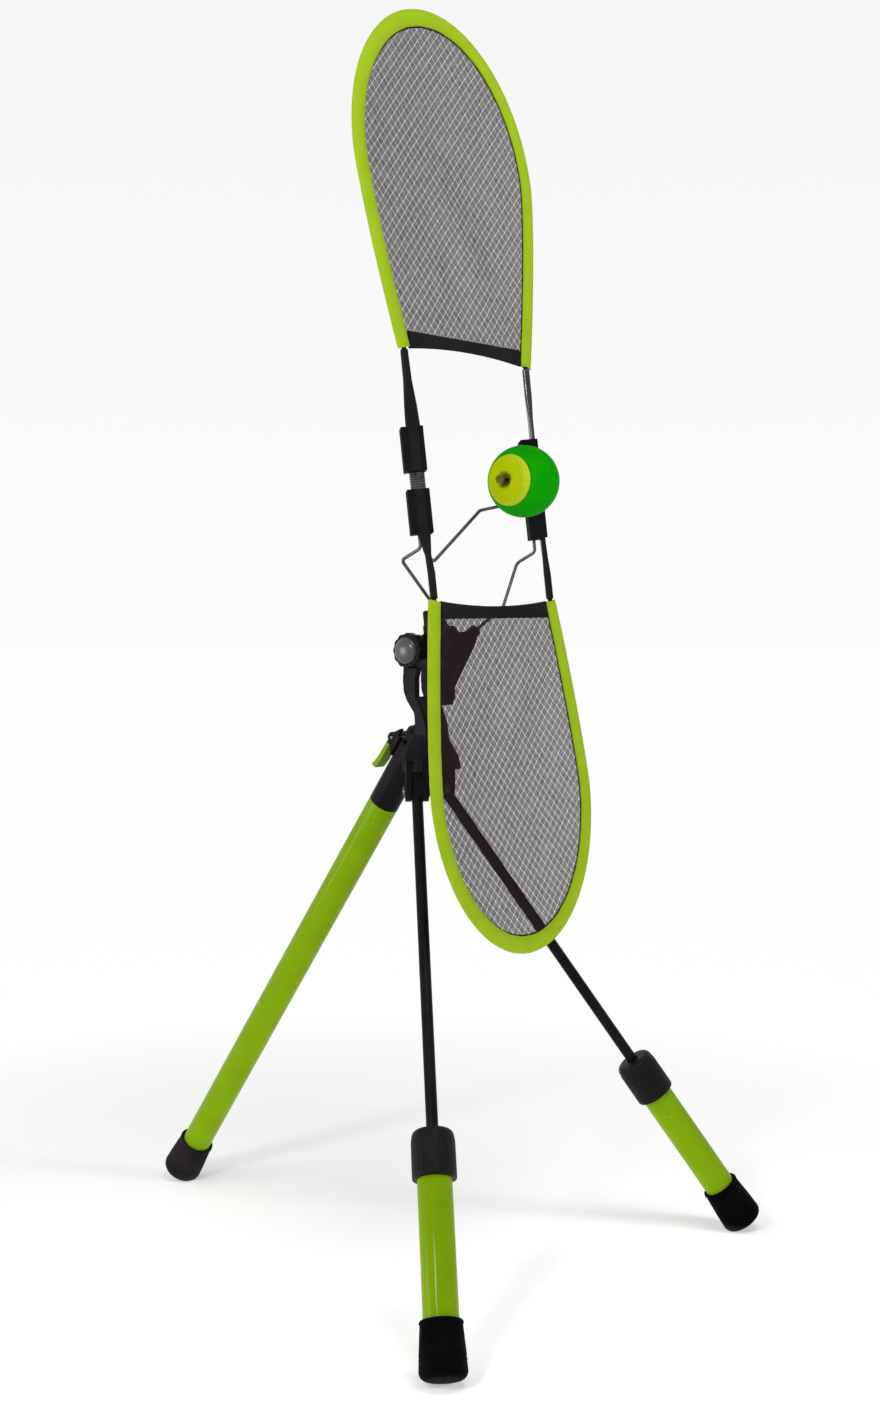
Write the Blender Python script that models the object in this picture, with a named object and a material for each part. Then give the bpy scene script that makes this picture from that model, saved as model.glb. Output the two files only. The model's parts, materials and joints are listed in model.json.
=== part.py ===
"""Tennis topspin trainer.

A folding tripod carries a head that tilts. Two bent wire arms on the head hold
two mesh screens, one above the other, and a foam ball spins between them on a
sprung wire. Metres, +Z up. The player stands on the -Y side.

Sections: sizes, shape helpers, tripod crown, rear leg, front legs, tilting head,
screens, ball, and the call that places everything on the floor.
"""
import math

import bmesh
import bpy
from mathutils import Matrix, Vector

# Fits
SEAT_GAP = 0.0003
BORE_GAP = 0.00015
WIRE_GAP = 0.0003
RUN_GAP = 0.0008

# Tripod layout, measured from the point where the three leg axes meet
LEG_SPREAD = math.radians(34.7)
FRONT_TOE = math.radians(46.5)
LEG_REACH = 0.587

# Green tubes and their rubber feet
TUBE_R = 0.01515
TUBE_WALL = 0.0016
FOOT_TOP_R = 0.0185
FOOT_R = 0.0202
FOOT_EDGE = 0.007
FOOT_LENGTH = 0.0465
FOOT_FLOOR = 0.012
FOOT_FLAT = 0.001

# Front legs: knuckle, rod, twist lock and lower tube
HINGE_DROP = 0.049
ROD_R = 0.0053
ROD_WALL = 0.0013
KNUCKLE_WIDTH = 0.0094
KNUCKLE_R = 0.009
SPIGOT_LENGTH = 0.022
LEG_PIN_R = 0.003
PIN_HEAD_R = 0.0052
PIN_HEAD_HEIGHT = 0.0024
LUG_WIDTH = 0.0062
LUG_R = 0.010
LUG_RISE = 0.030
LOCK_TOP = 0.3815
LOCK_LENGTH = 0.0425
LOCK_R = 0.0193
LOCK_DOME = 0.006
LOCK_WEB = 0.012
ROD_OVERLAP = 0.0745
PLUG_LENGTH = 0.018

# Crown: the moulded block that the legs and the tilting head are fixed to
CROWN_BOTTOM = -0.021
NECK_TOP = 0.032
BOSS_START = -0.019
BOSS_EDGE = 0.004
BOSS_END = -0.003

# Rear leg: inner post, clamp collar and cam lever
POST_R = 0.011
POST_WALL = 0.0015
POST_TOP = 0.0117
POST_END = 0.300
COLLAR_END = 0.069
COLLAR_SPIGOT = 0.020
LEVER_PIN_DROP = 0.004
LEVER_PIN_OUT = 0.0215
LEVER_PIN_R = 0.002
LEVER_LENGTH = 0.040
LEVER_WIDTH = 0.014
LEVER_THICK = 0.005
CAM_R = 0.0045
EAR_THICK = 0.004
EAR_R = 0.0055
EAR_TOP = 0.010
SHOE_LENGTH = 0.010
SHOE_WIDTH = 0.008

# Tilt joint
PIVOT_BACK = -0.0121
PIVOT_RISE = 0.094
LEAN = math.radians(7.58)
CHEEK_INNER = 0.010
CHEEK_WIDTH = 0.007
CHEEK_R = 0.0155
BOLT_R = 0.004
BOLT_HEAD_R = 0.0085
BOLT_HEAD_HEIGHT = 0.0055
EYE_R = 0.013
KNOB_R = 0.0170
KNOB_WIDTH = 0.0105
KNOB_FLUTES = 12
KNOB_FLUTE_DEPTH = 0.0010
KNOB_CAP_R = 0.0128
KNOB_CAP_DOME = 0.0055

# Arms of the head: round steel wire
WIRE_R = 0.0016
ARM_ROOT_X = 0.020
ARM_ROOT_BACK = -0.0497
ARM_ROOT_RISE = 0.0135
ARM_KNEE_X = 0.052
ARM_KNEE_OFFSET = 0.0271
ARM_KNEE_RISE = 0.0337
ARM_BEND_X = 0.0880
ARM_BEND_OFFSET = 0.0315
ARM_BEND_RISE = 0.0775
ARM_DROP = 0.012
ARM_GRIP = 0.020
PRONG_R = 0.0058
PRONG_DEPTH = 0.016

# Uprights: the clips and the tangs of the screens
SCREEN_OFFSET = 0.0873
UPRIGHT_X = 0.091
TANG_WIDTH = 0.0132
TANG_THICK = 0.0040
CLIP_HEIGHT = 0.040
CLIP_LOW = 0.097
LINK_HEIGHT = 0.0165
CLIP_OUTER = 0.0115
CLIP_INNER = 0.0088
CLIP_DEPTH = 0.0130
CLIP_LIP = 0.0015
ARM_SOCKET_A = -0.0034
BALL_SOCKET_A = 0.0040
SOCKET_B = 0.0082
LINK_WIDTH = 0.0135
LINK_DEPTH = 0.0095
LINK_SPIGOT = 0.008
LINK_CENTRE_B = 0.0076

# Screens
SCREEN_LENGTH = 0.328
SCREEN_GAP = 0.2295
SCREEN_LOW = 0.0356
SCREEN_WIDEST = 0.178
FLARE = 1.33
UPPER_END_HALF = 0.1003
UPPER_MAX_HALF = 0.1331
LOWER_END_HALF = 0.0972
LOWER_MAX_HALF = 0.1226
LOWER_FORWARD = 0.0024
HOOP_R = 0.0022
BINDING_WIDTH = 0.016
BINDING_THICK = 0.0062
MESH_THICK = 0.0010
MESH_TUCK = 0.0035
MESH_CROWN = 0.0035
NET_COLUMNS = 6
NET_ROWS = 8
NET_BAR = 0.42
NET_TOP = 0.2976
HEM_HEIGHT = 0.016
HEM_THICK = 0.0030
HEM_BOW = 0.005
TANG_TIP = 0.0034
TANG_SOCKET = 0.024
TANG_CLEAR = 0.002

# Ball
BALL_R = 0.033
BALL_OFFSET = 0.0497
BALL_RISE = 0.1399
BALL_CUT = 0.021
CAP_DOME = 0.0085
CAP_HOLE_R = 0.0046
BUSH_R = 0.0042
BALL_WIRE_TIP = 0.0375
BALL_WIRE_SIDE = 0.046
RETAINER_R = 0.0036
RETAINER_LENGTH = 0.0035

# Facets
ROUND = 24
SMALL_ROUND = 16
WIRE_SIDES = 8
HOOP_SIDES = 6
HOOP_STEPS = 16

# Colours: red, green, blue, roughness, metallic
FINISHES = {
    "lime_tube": (0.34, 0.52, 0.02, 0.28, 0.0),
    "lime_fabric": (0.42, 0.60, 0.02, 0.80, 0.0),
    "black_plastic": (0.020, 0.019, 0.021, 0.45, 0.0),
    "black_metal": (0.025, 0.024, 0.026, 0.35, 0.6),
    "black_rubber": (0.012, 0.012, 0.012, 0.75, 0.0),
    "grey_plastic": (0.20, 0.20, 0.21, 0.40, 0.0),
    "steel": (0.55, 0.55, 0.56, 0.30, 1.0),
    "dark_mesh": (0.045, 0.042, 0.045, 0.85, 0.0),
    "black_fabric": (0.020, 0.020, 0.024, 0.85, 0.0),
    "green_foam": (0.01, 0.50, 0.02, 0.70, 0.0),
    "yellow_foam": (0.62, 0.66, 0.01, 0.70, 0.0),
}


# Scene and objects

def clear_scene():
    for obj in list(bpy.data.objects):
        bpy.data.objects.remove(obj, do_unlink=True)


def finish(name):
    material = bpy.data.materials.get(name)
    if material is None:
        red, green, blue, roughness, metallic = FINISHES[name]
        material = bpy.data.materials.new(name)
        material.use_nodes = True
        shader = material.node_tree.nodes["Principled BSDF"]
        shader.inputs["Base Color"].default_value = (red, green, blue, 1.0)
        shader.inputs["Roughness"].default_value = roughness
        shader.inputs["Metallic"].default_value = metallic
        material.diffuse_color = (red, green, blue, 1.0)
    return material


def empty(name, parent=None, matrix=None):
    obj = bpy.data.objects.new(name, None)
    obj.empty_display_size = 0.02
    bpy.context.collection.objects.link(obj)
    obj.parent = parent
    obj.matrix_basis = matrix or Matrix.Identity(4)
    return obj


def build_mesh(name, points, faces):
    """One closed mesh whose faces all point outwards."""
    mesh = bpy.data.meshes.new(name)
    shape = bmesh.new()
    corners = [shape.verts.new(point) for point in points]
    for face in faces:
        shape.faces.new([corners[index] for index in face])
    bmesh.ops.recalc_face_normals(shape, faces=shape.faces)
    shape.to_mesh(mesh)
    shape.free()
    mesh.shade_smooth()
    mesh.set_sharp_from_angle(angle=math.radians(35))
    return mesh


def piece(name, mesh, parent, look, matrix=None):
    obj = bpy.data.objects.new(name, mesh)
    mesh.name = name
    bpy.context.collection.objects.link(obj)
    obj.parent = parent
    obj.matrix_basis = matrix or Matrix.Identity(4)
    mesh.materials.append(finish(look))
    return obj


def tool(base, mesh, operation, matrix=None, solver="EXACT"):
    """Adds or cuts a shape with a Boolean. The tool shape itself stays hidden."""
    helper = bpy.data.objects.new(f"{base.name}_{operation.lower()}_{len(base.modifiers)}", mesh)
    bpy.context.collection.objects.link(helper)
    helper.parent = base.parent
    helper.matrix_basis = base.matrix_basis @ (matrix or Matrix.Identity(4))
    helper.hide_render = True
    helper.display_type = "WIRE"
    step = base.modifiers.new(operation.lower(), "BOOLEAN")
    step.operation = operation
    step.solver = solver
    step.object = helper
    return helper


def join(base, mesh, matrix=None):
    tool(base, mesh, "UNION", matrix)


def cut(base, mesh, matrix=None, solver="EXACT"):
    tool(base, mesh, "DIFFERENCE", matrix, solver)


# Shapes

def move(x=0.0, y=0.0, z=0.0):
    return Matrix.Translation((x, y, z))


def turn(angle, axis):
    return Matrix.Rotation(angle, 4, axis)


ALONG_X = turn(math.radians(90), "Y")


def loft(rings, name="loft", closed=False):
    """Skins rings that have equal point counts. Open lofts get flat end caps."""
    count = len(rings[0])
    points = [point for ring in rings for point in ring]
    faces = []
    last = len(rings) if closed else len(rings) - 1
    for row in range(last):
        here = row * count
        there = ((row + 1) % len(rings)) * count
        for step in range(count):
            nxt = (step + 1) % count
            faces.append((here + step, here + nxt, there + nxt, there + step))
    if not closed:
        faces.append(tuple(range(count)))
        faces.append(tuple(range((len(rings) - 1) * count, len(rings) * count)))
    return build_mesh(name, points, faces)


def lathe(profile, sides=ROUND, name="lathe"):
    """Spins a profile of (radius, height) round Z.

    A profile that starts and ends on the axis gives a solid, and any other
    profile is taken as a closed loop and gives a ring.
    """
    solid = profile[0][0] == 0.0 and profile[-1][0] == 0.0
    body = profile[1:-1] if solid else profile
    points = []
    for radius, height in body:
        for step in range(sides):
            angle = 2 * math.pi * step / sides
            points.append((radius * math.cos(angle), radius * math.sin(angle), height))
    faces = []
    rows = len(body) - 1 if solid else len(body)
    for row in range(rows):
        here = row * sides
        there = ((row + 1) % len(body)) * sides
        for step in range(sides):
            nxt = (step + 1) % sides
            faces.append((here + step, here + nxt, there + nxt, there + step))
    if solid:
        points.append((0.0, 0.0, profile[0][1]))
        points.append((0.0, 0.0, profile[-1][1]))
        first = len(points) - 2
        final = len(points) - 1
        bottom = (len(body) - 1) * sides
        for step in range(sides):
            nxt = (step + 1) % sides
            faces.append((first, step, nxt))
            faces.append((final, bottom + nxt, bottom + step))
    return build_mesh(name, points, faces)


def cylinder(radius, low, high, sides=ROUND, edge=0.0):
    if edge:
        return lathe([(0.0, low), (radius - edge, low), (radius, low + edge),
                      (radius, high - edge), (radius - edge, high), (0.0, high)], sides)
    return lathe([(0.0, low), (radius, low), (radius, high), (0.0, high)], sides)


def tube(outer, inner, low, high, sides=ROUND):
    return lathe([(inner, low), (outer, low), (outer, high), (inner, high)], sides)


def prism(outline, low, high, plane="YZ"):
    """Extrudes a closed outline across its plane: YZ along X, or XY along Z."""
    if plane == "YZ":
        rings = [[Vector((depth, a, b)) for a, b in outline] for depth in (low, high)]
    else:
        rings = [[Vector((a, b, depth)) for a, b in outline] for depth in (low, high)]
    return loft(rings, "prism")


def arc(centre, radius, start, end, steps):
    """Points on a circle, angles in degrees."""
    found = []
    for step in range(steps + 1):
        angle = math.radians(start + (end - start) * step / steps)
        found.append((centre[0] + radius * math.cos(angle), centre[1] + radius * math.sin(angle)))
    return found


def rounded_box(half_x, low_y, high_y, corner, steps=3):
    """Outline of a rectangle with round corners, counter-clockwise."""
    corners = ((half_x - corner, high_y - corner, 0), (-half_x + corner, high_y - corner, 90),
               (-half_x + corner, low_y + corner, 180), (half_x - corner, low_y + corner, 270))
    outline = []
    for x, y, start in corners:
        outline += arc((x, y), corner, start, start + 90, steps)
    return outline


def bent_path(corners, radii, steps=5):
    """Straight runs joined by round bends. One radius for each inner corner."""
    path = [Vector(corners[0])]
    for index in range(1, len(corners) - 1):
        here = Vector(corners[index])
        before = (Vector(corners[index - 1]) - here).normalized()
        after = (Vector(corners[index + 1]) - here).normalized()
        half = before.angle(after) / 2
        reach = radii[index - 1] / math.tan(half)
        start = here + before * reach
        centre = here + (before + after).normalized() * radii[index - 1] / math.sin(half)
        first = start - centre
        last = here + after * reach - centre
        swing = first.angle(last)
        axis = first.cross(last).normalized()
        for step in range(steps + 1):
            path.append(centre + Matrix.Rotation(swing * step / steps, 3, axis) @ first)
    path.append(Vector(corners[-1]))
    return path


def round_wire(path, radius, sides=WIRE_SIDES):
    """A round section carried along a path without twist."""
    tangents = []
    for index in range(len(path)):
        before = path[max(index - 1, 0)]
        after = path[min(index + 1, len(path) - 1)]
        tangents.append((after - before).normalized())
    across = tangents[0].orthogonal().normalized()
    rings = []
    for index, point in enumerate(path):
        across = (across - tangents[index] * across.dot(tangents[index])).normalized()
        up = tangents[index].cross(across)
        ring = []
        for step in range(sides):
            angle = 2 * math.pi * step / sides
            ring.append(point + radius * (math.cos(angle) * across + math.sin(angle) * up))
        rings.append(ring)
    return loft(rings, "wire")


# Frames of the three legs

def leg_matrix(heading):
    """Axes at the meeting point: X is the hinge line and -Z runs down the leg."""
    outward = Vector((math.sin(heading), -math.cos(heading), 0.0))
    up_leg = Vector((0, 0, 1)) * math.cos(LEG_SPREAD) - outward * math.sin(LEG_SPREAD)
    hinge = Vector((math.cos(heading), math.sin(heading), 0.0))
    inward = up_leg.cross(hinge)
    return Matrix((hinge, inward, up_leg)).transposed().to_4x4()


FLOOR = (FOOT_FLAT - FOOT_EDGE - (FOOT_R - FOOT_EDGE) * math.sin(LEG_SPREAD)
         - (LEG_REACH - FOOT_EDGE) * math.cos(LEG_SPREAD))


def foot_overhang(lead):
    """How far a foot reaches along a level direction that meets its leg axis at this cosine."""
    rim = (FOOT_R - FOOT_EDGE) * math.sqrt(1.0 - lead * lead)
    return (LEG_REACH - FOOT_EDGE) * lead + rim + FOOT_EDGE


def foot_mesh():
    """A rubber cup whose lower edge is round. Heights run down the leg from zero."""
    top = -(LEG_REACH - FOOT_LENGTH)
    end = -LEG_REACH
    bore = TUBE_R + BORE_GAP
    profile = [(bore, end + FOOT_FLOOR), (bore, top), (FOOT_TOP_R - 0.0015, top),
               (FOOT_TOP_R, top - 0.0015)]
    for radius, height in arc((FOOT_R - FOOT_EDGE, end + FOOT_EDGE), FOOT_EDGE, 0, -90, 5):
        profile.append((radius, height))
    profile = [(0.0, end + FOOT_FLOOR)] + profile + [(0.0, end)]
    return lathe(profile)


def floor_cutter():
    below = 0.02
    reach = 0.5
    return prism([(-reach, FLOOR - below), (reach, FLOOR - below), (reach, FLOOR), (-reach, FLOOR)],
                 -reach, reach)


def add_foot(name, parent, matrix, leg_axes):
    foot = piece(name, foot_mesh(), parent, "black_rubber", matrix)
    cut(foot, floor_cutter(), leg_axes.inverted())
    return foot


# Crown

def cheek_outline():
    """Side view of a cheek, from the neck up to the round boss at the tilt bolt."""
    back = [(-0.0290, 0.010), (-0.0125, 0.014), (-0.0135, 0.026), (-0.0125, 0.034),
            (-0.0035, 0.046), (0.0003, 0.054), (0.0012, 0.064), (0.0008, 0.078)]
    boss = arc((PIVOT_BACK, PIVOT_RISE), CHEEK_R, -40, 215, 12)
    front = [(-0.0175, 0.078), (-0.0145, 0.068), (-0.0145, 0.050), (-0.0220, 0.036), (-0.0270, 0.024)]
    return back + boss + front


def crown_body():
    """The block under the neck, skinned from level outlines that widen downwards."""
    levels = ((NECK_TOP, 0.0150, -0.0270, -0.0140, 0.004),
              (0.022, 0.0155, -0.0280, -0.0145, 0.005),
              (0.012, 0.0175, -0.0300, -0.0070, 0.006),
              (0.0036, 0.0212, -0.0330, -0.0016, 0.008),
              (-0.008, 0.0290, -0.0365, -0.0020, 0.010),
              (CROWN_BOTTOM, 0.0315, -0.0375, -0.0060, 0.010))
    rings = []
    for height, half, low, high, corner in levels:
        rings.append([Vector((x, y, height)) for x, y in rounded_box(half, low, high, corner)])
    return loft(rings, "crown")


def neck_outline():
    """Side view of the web that joins the two cheeks below the tail of the yoke."""
    return [(-0.0260, 0.020), (-0.0135, 0.020), (-0.0138, 0.034), (-0.0060, 0.0455), (-0.0080, 0.0495),
            (-0.0140, 0.0495), (-0.0210, 0.036)]


def upright_leg_matrix(heading):
    """Axes at a leg hinge with X on the hinge line and Z vertical."""
    hinge_point = leg_matrix(heading) @ Vector((0, 0, -HINGE_DROP))
    return Matrix.Translation(hinge_point) @ turn(heading, "Z")


def lug_outline():
    low = arc((0.0, 0.0), LUG_R, 180, 360, 8)
    return low + [(LUG_R, LUG_RISE), (-LUG_R, LUG_RISE)]


def add_crown(root):
    crown = piece("crown", crown_body(), root, "black_plastic")
    rear = leg_matrix(math.pi)
    join(crown, cylinder(TUBE_R, -BOSS_END, -BOSS_START, ROUND, BOSS_EDGE), rear)
    for side in (-1, 1):
        inner = side * CHEEK_INNER
        outer = side * (CHEEK_INNER + CHEEK_WIDTH)
        join(crown, prism(cheek_outline(), min(inner, outer), max(inner, outer)))
    join(crown, prism(neck_outline(), -CHEEK_INNER - 0.002, CHEEK_INNER + 0.002))
    slot = KNUCKLE_WIDTH / 2 + SEAT_GAP
    for side in (-1, 1):
        place = upright_leg_matrix(side * FRONT_TOE)
        for hand in (-1, 1):
            near = hand * slot
            far = hand * (slot + LUG_WIDTH)
            join(crown, prism(lug_outline(), min(near, far), max(near, far)), place)
    socket = POST_R + BORE_GAP
    room = TUBE_R + RUN_GAP
    bore = [(0.0, -COLLAR_END), (room, -COLLAR_END), (room, -BOSS_END), (socket, -BOSS_END),
            (socket, POST_TOP + SEAT_GAP), (0.0, POST_TOP + SEAT_GAP)]
    cut(crown, lathe(bore), rear, "MANIFOLD")
    bolt = move(y=PIVOT_BACK, z=PIVOT_RISE) @ ALONG_X
    cut(crown, cylinder(BOLT_R + BORE_GAP, -0.03, 0.03, SMALL_ROUND), bolt)
    for side in (-1, 1):
        place = upright_leg_matrix(side * FRONT_TOE) @ ALONG_X
        cut(crown, cylinder(LEG_PIN_R + BORE_GAP, -0.03, 0.03, SMALL_ROUND), place)
    return crown


# Rear leg

def add_post(root):
    rear = leg_matrix(math.pi)
    piece("rear_post", tube(POST_R, POST_R - POST_WALL, -POST_END, POST_TOP), root, "black_metal", rear)
    slide = TUBE_R - TUBE_WALL - BORE_GAP
    low = -POST_END - 0.006
    profile = [(0.0, low), (slide, low), (slide, -POST_END - SEAT_GAP),
               (POST_R - POST_WALL - BORE_GAP, -POST_END - SEAT_GAP),
               (POST_R - POST_WALL - BORE_GAP, -POST_END + 0.012), (0.0, -POST_END + 0.012)]
    piece("rear_post_guide", lathe(profile), root, "grey_plastic", rear)


def collar_mesh():
    top = -BOSS_END - SEAT_GAP
    bore = POST_R + WIRE_GAP
    spigot = TUBE_R - TUBE_WALL - BORE_GAP
    return lathe([(bore, top), (bore, -COLLAR_END - COLLAR_SPIGOT), (spigot, -COLLAR_END - COLLAR_SPIGOT),
                  (spigot, -COLLAR_END), (TUBE_R, -COLLAR_END), (TUBE_R, top - 0.001),
                  (TUBE_R - 0.001, top)])


def ear_outline():
    """Side view of a clamp ear: Y runs out from the collar and Z up the leg."""
    centre = (LEVER_PIN_OUT, -LEVER_PIN_DROP)
    root = POST_R + 0.002
    clear = TUBE_R + RUN_GAP
    shoulder = -BOSS_END - 2 * SEAT_GAP
    round_end = arc(centre, EAR_R, -80, 75, 8)
    hump = [(clear + 0.0015, EAR_TOP), (clear, EAR_TOP), (clear, shoulder), (root, shoulder)]
    return [(root, -LEVER_PIN_DROP - 0.016)] + round_end + hump


def lever_outline():
    """Side view of the cam lever: a round cam head and a blade that stands off the collar."""
    pin = (LEVER_PIN_OUT, -LEVER_PIN_DROP)
    low = LEVER_PIN_OUT + 0.0005
    high = low + LEVER_THICK
    end = pin[1] - LEVER_LENGTH
    head = arc(pin, CAM_R, 200, 10, 10)
    head.reverse()
    blade_in = [(low + 0.0012, pin[1] - 0.012), (low + 0.0010, end + 0.010), (low + 0.0025, end)]
    blade_out = [(high + 0.0035, end), (high + 0.0012, end + 0.009), (high + 0.0004, pin[1] - 0.010)]
    return head[::-1] + blade_out[::-1] + blade_in[::-1]


def add_rear_leg(root):
    rear = leg_matrix(math.pi)
    slider = empty("rear_leg_slide", root, rear)
    outward = turn(math.pi, "Z")
    collar = piece("rear_clamp_collar", collar_mesh(), slider, "black_plastic")
    ear_in = LEVER_WIDTH / 2 + SEAT_GAP
    for side in (-1, 1):
        near = side * ear_in
        far = side * (ear_in + EAR_THICK)
        join(collar, prism(ear_outline(), min(near, far), max(near, far)), outward)
    cut(collar, cylinder(POST_R + WIRE_GAP, -COLLAR_END - 0.03, 0.02))
    window = SHOE_LENGTH / 2 + SEAT_GAP
    half = SHOE_WIDTH / 2 + SEAT_GAP
    low = -LEVER_PIN_DROP - window
    high = -LEVER_PIN_DROP + window
    pocket = [(POST_R - 0.002, low), (0.022, low), (0.022, high), (POST_R - 0.002, high)]
    cut(collar, prism(pocket, -half, half), outward)
    pin_place = outward @ move(y=LEVER_PIN_OUT, z=-LEVER_PIN_DROP) @ ALONG_X
    cut(collar, cylinder(LEVER_PIN_R + BORE_GAP, -0.03, 0.03, SMALL_ROUND), pin_place)

    shoe_low = POST_R + 2 * SEAT_GAP
    shoe_high = LEVER_PIN_OUT - CAM_R - SEAT_GAP
    half_length = SHOE_LENGTH / 2
    shoe = [(shoe_low, -LEVER_PIN_DROP - half_length), (shoe_high, -LEVER_PIN_DROP - half_length),
            (shoe_high, -LEVER_PIN_DROP + half_length), (shoe_low, -LEVER_PIN_DROP + half_length)]
    piece("rear_clamp_shoe", prism(shoe, -SHOE_WIDTH / 2, SHOE_WIDTH / 2), slider, "grey_plastic", outward)
    pin_half = ear_in + EAR_THICK + 0.0006
    piece("rear_clamp_pin", cylinder(LEVER_PIN_R, -pin_half, pin_half, SMALL_ROUND, 0.0004), slider,
          "steel", pin_place)

    bottom = -(LEG_REACH - FOOT_FLOOR - SEAT_GAP)
    piece("rear_tube", tube(TUBE_R, TUBE_R - TUBE_WALL, bottom, -COLLAR_END - SEAT_GAP), slider, "lime_tube")
    add_foot("rear_foot", slider, Matrix.Identity(4), rear)

    hinge = empty("rear_clamp_hinge", slider, outward @ move(y=LEVER_PIN_OUT, z=-LEVER_PIN_DROP))
    to_pin = move(y=-LEVER_PIN_OUT, z=LEVER_PIN_DROP)
    half = LEVER_WIDTH / 2
    lever = piece("rear_clamp_lever", prism(lever_outline(), -half, half), hinge, "lime_tube", to_pin)
    cut(lever, cylinder(LEVER_PIN_R + BORE_GAP, -0.02, 0.02, SMALL_ROUND),
        move(y=LEVER_PIN_OUT, z=-LEVER_PIN_DROP) @ ALONG_X)


# Front legs

def knuckle_outline():
    """Side view of the round eye with the heel that stops the leg when it is spread."""
    heel = HINGE_DROP * math.cos(LEG_SPREAD) + CROWN_BOTTOM - SEAT_GAP
    round_part = arc((0.0, 0.0), KNUCKLE_R, -180, 90, 14)
    return round_part + [(0.0, heel), (-KNUCKLE_R, heel)]


def lock_mesh():
    """Domed twist collar: a web on the rod and a skirt over the top of the tube."""
    top = -LOCK_TOP
    skirt = TUBE_R + BORE_GAP
    rod = ROD_R + WIRE_GAP
    profile = [(rod, top - LOCK_WEB), (rod, top)]
    for angle in (75, 55, 35, 15):
        turned = math.radians(angle)
        profile.append((LOCK_R - 0.0008 - (LOCK_DOME * 0.9) * (1 - math.cos(turned)),
                        top - LOCK_DOME * (1 - math.sin(turned))))
    profile += [(LOCK_R - 0.0004, top - LOCK_DOME * 1.4), (LOCK_R, top - LOCK_LENGTH + 0.001),
                (LOCK_R - 0.001, top - LOCK_LENGTH), (skirt, top - LOCK_LENGTH), (skirt, top - LOCK_WEB)]
    return lathe(profile)


def add_front_leg(root, side, name):
    heading = side * FRONT_TOE
    axes = leg_matrix(heading)
    pivot = empty(f"{name}_leg_hinge", root, axes @ move(z=-HINGE_DROP))
    to_top = move(z=HINGE_DROP)
    half = KNUCKLE_WIDTH / 2
    upright = axes.inverted() @ turn(heading, "Z")
    lean_back = move(z=-HINGE_DROP) @ upright
    knuckle = piece(f"{name}_knuckle", prism(knuckle_outline(), -half, half), pivot,
                    "black_plastic", to_top @ lean_back)
    tilt = lean_back.inverted()
    stem = half - 0.0003
    spigot = ROD_R - ROD_WALL - BORE_GAP
    shoulder = -HINGE_DROP - LUG_R - RUN_GAP
    end = shoulder - SPIGOT_LENGTH
    neck = [(0.0, end), (spigot, end), (spigot, shoulder), (stem, shoulder), (stem, -HINGE_DROP - 0.003),
            (0.0, -HINGE_DROP - 0.003)]
    join(knuckle, lathe(neck, SMALL_ROUND), tilt)
    cut(knuckle, cylinder(LEG_PIN_R + BORE_GAP, -0.02, 0.02, SMALL_ROUND), ALONG_X)

    pin_half = half + SEAT_GAP + LUG_WIDTH + SEAT_GAP
    head = pin_half + PIN_HEAD_HEIGHT
    profile = [(0.0, -head), (PIN_HEAD_R * 0.7, -head), (PIN_HEAD_R, -pin_half - 0.0008), (PIN_HEAD_R, -pin_half),
               (LEG_PIN_R, -pin_half), (LEG_PIN_R, pin_half), (PIN_HEAD_R, pin_half),
               (PIN_HEAD_R, pin_half + 0.0008), (PIN_HEAD_R * 0.7, head), (0.0, head)]
    piece(f"{name}_leg_pin", lathe(profile, SMALL_ROUND), root, "steel",
          axes @ move(z=-HINGE_DROP) @ ALONG_X)

    rod_end = -(LOCK_TOP + ROD_OVERLAP)
    rod = tube(ROD_R, ROD_R - ROD_WALL, rod_end, shoulder - SEAT_GAP, SMALL_ROUND)
    piece(f"{name}_rod", rod, pivot, "black_metal", to_top)
    slide = TUBE_R - TUBE_WALL - BORE_GAP
    plug_low = rod_end - 0.003
    bore = ROD_R + BORE_GAP
    plug = [(0.0, plug_low), (slide - 0.001, plug_low), (slide, plug_low + 0.001),
            (slide, plug_low + PLUG_LENGTH), (bore, plug_low + PLUG_LENGTH),
            (bore, rod_end - SEAT_GAP), (0.0, rod_end - SEAT_GAP)]
    piece(f"{name}_rod_plug", lathe(plug), pivot, "grey_plastic", to_top)

    slider = empty(f"{name}_leg_slide", pivot, to_top)
    top = -(LOCK_TOP + LOCK_WEB + SEAT_GAP)
    bottom = -(LEG_REACH - FOOT_FLOOR - SEAT_GAP)
    piece(f"{name}_tube", tube(TUBE_R, TUBE_R - TUBE_WALL, bottom, top), slider, "lime_tube")
    add_foot(f"{name}_foot", slider, Matrix.Identity(4), axes)
    lock = empty(f"{name}_lock_turn", slider)
    piece(f"{name}_lock", lock_mesh(), lock, "black_plastic")


# Tilting head. Its frame sits on the tilt bolt, with Z up the lean of the screens.

SCREEN_Y = -SCREEN_OFFSET


def upright_point(side, along, deep, height):
    """A point at an upright: along the tang's width, and deep behind its face."""
    turned = math.sqrt(0.5)
    x = UPRIGHT_X - (along + deep) * turned
    y = SCREEN_Y + (deep - along) * turned
    return Vector((side * x, y, height))


def upright_block(side, outline, low, high):
    rings = [[upright_point(side, a, b, height) for a, b in outline] for height in (low, high)]
    return loft(rings, "block")


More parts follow.
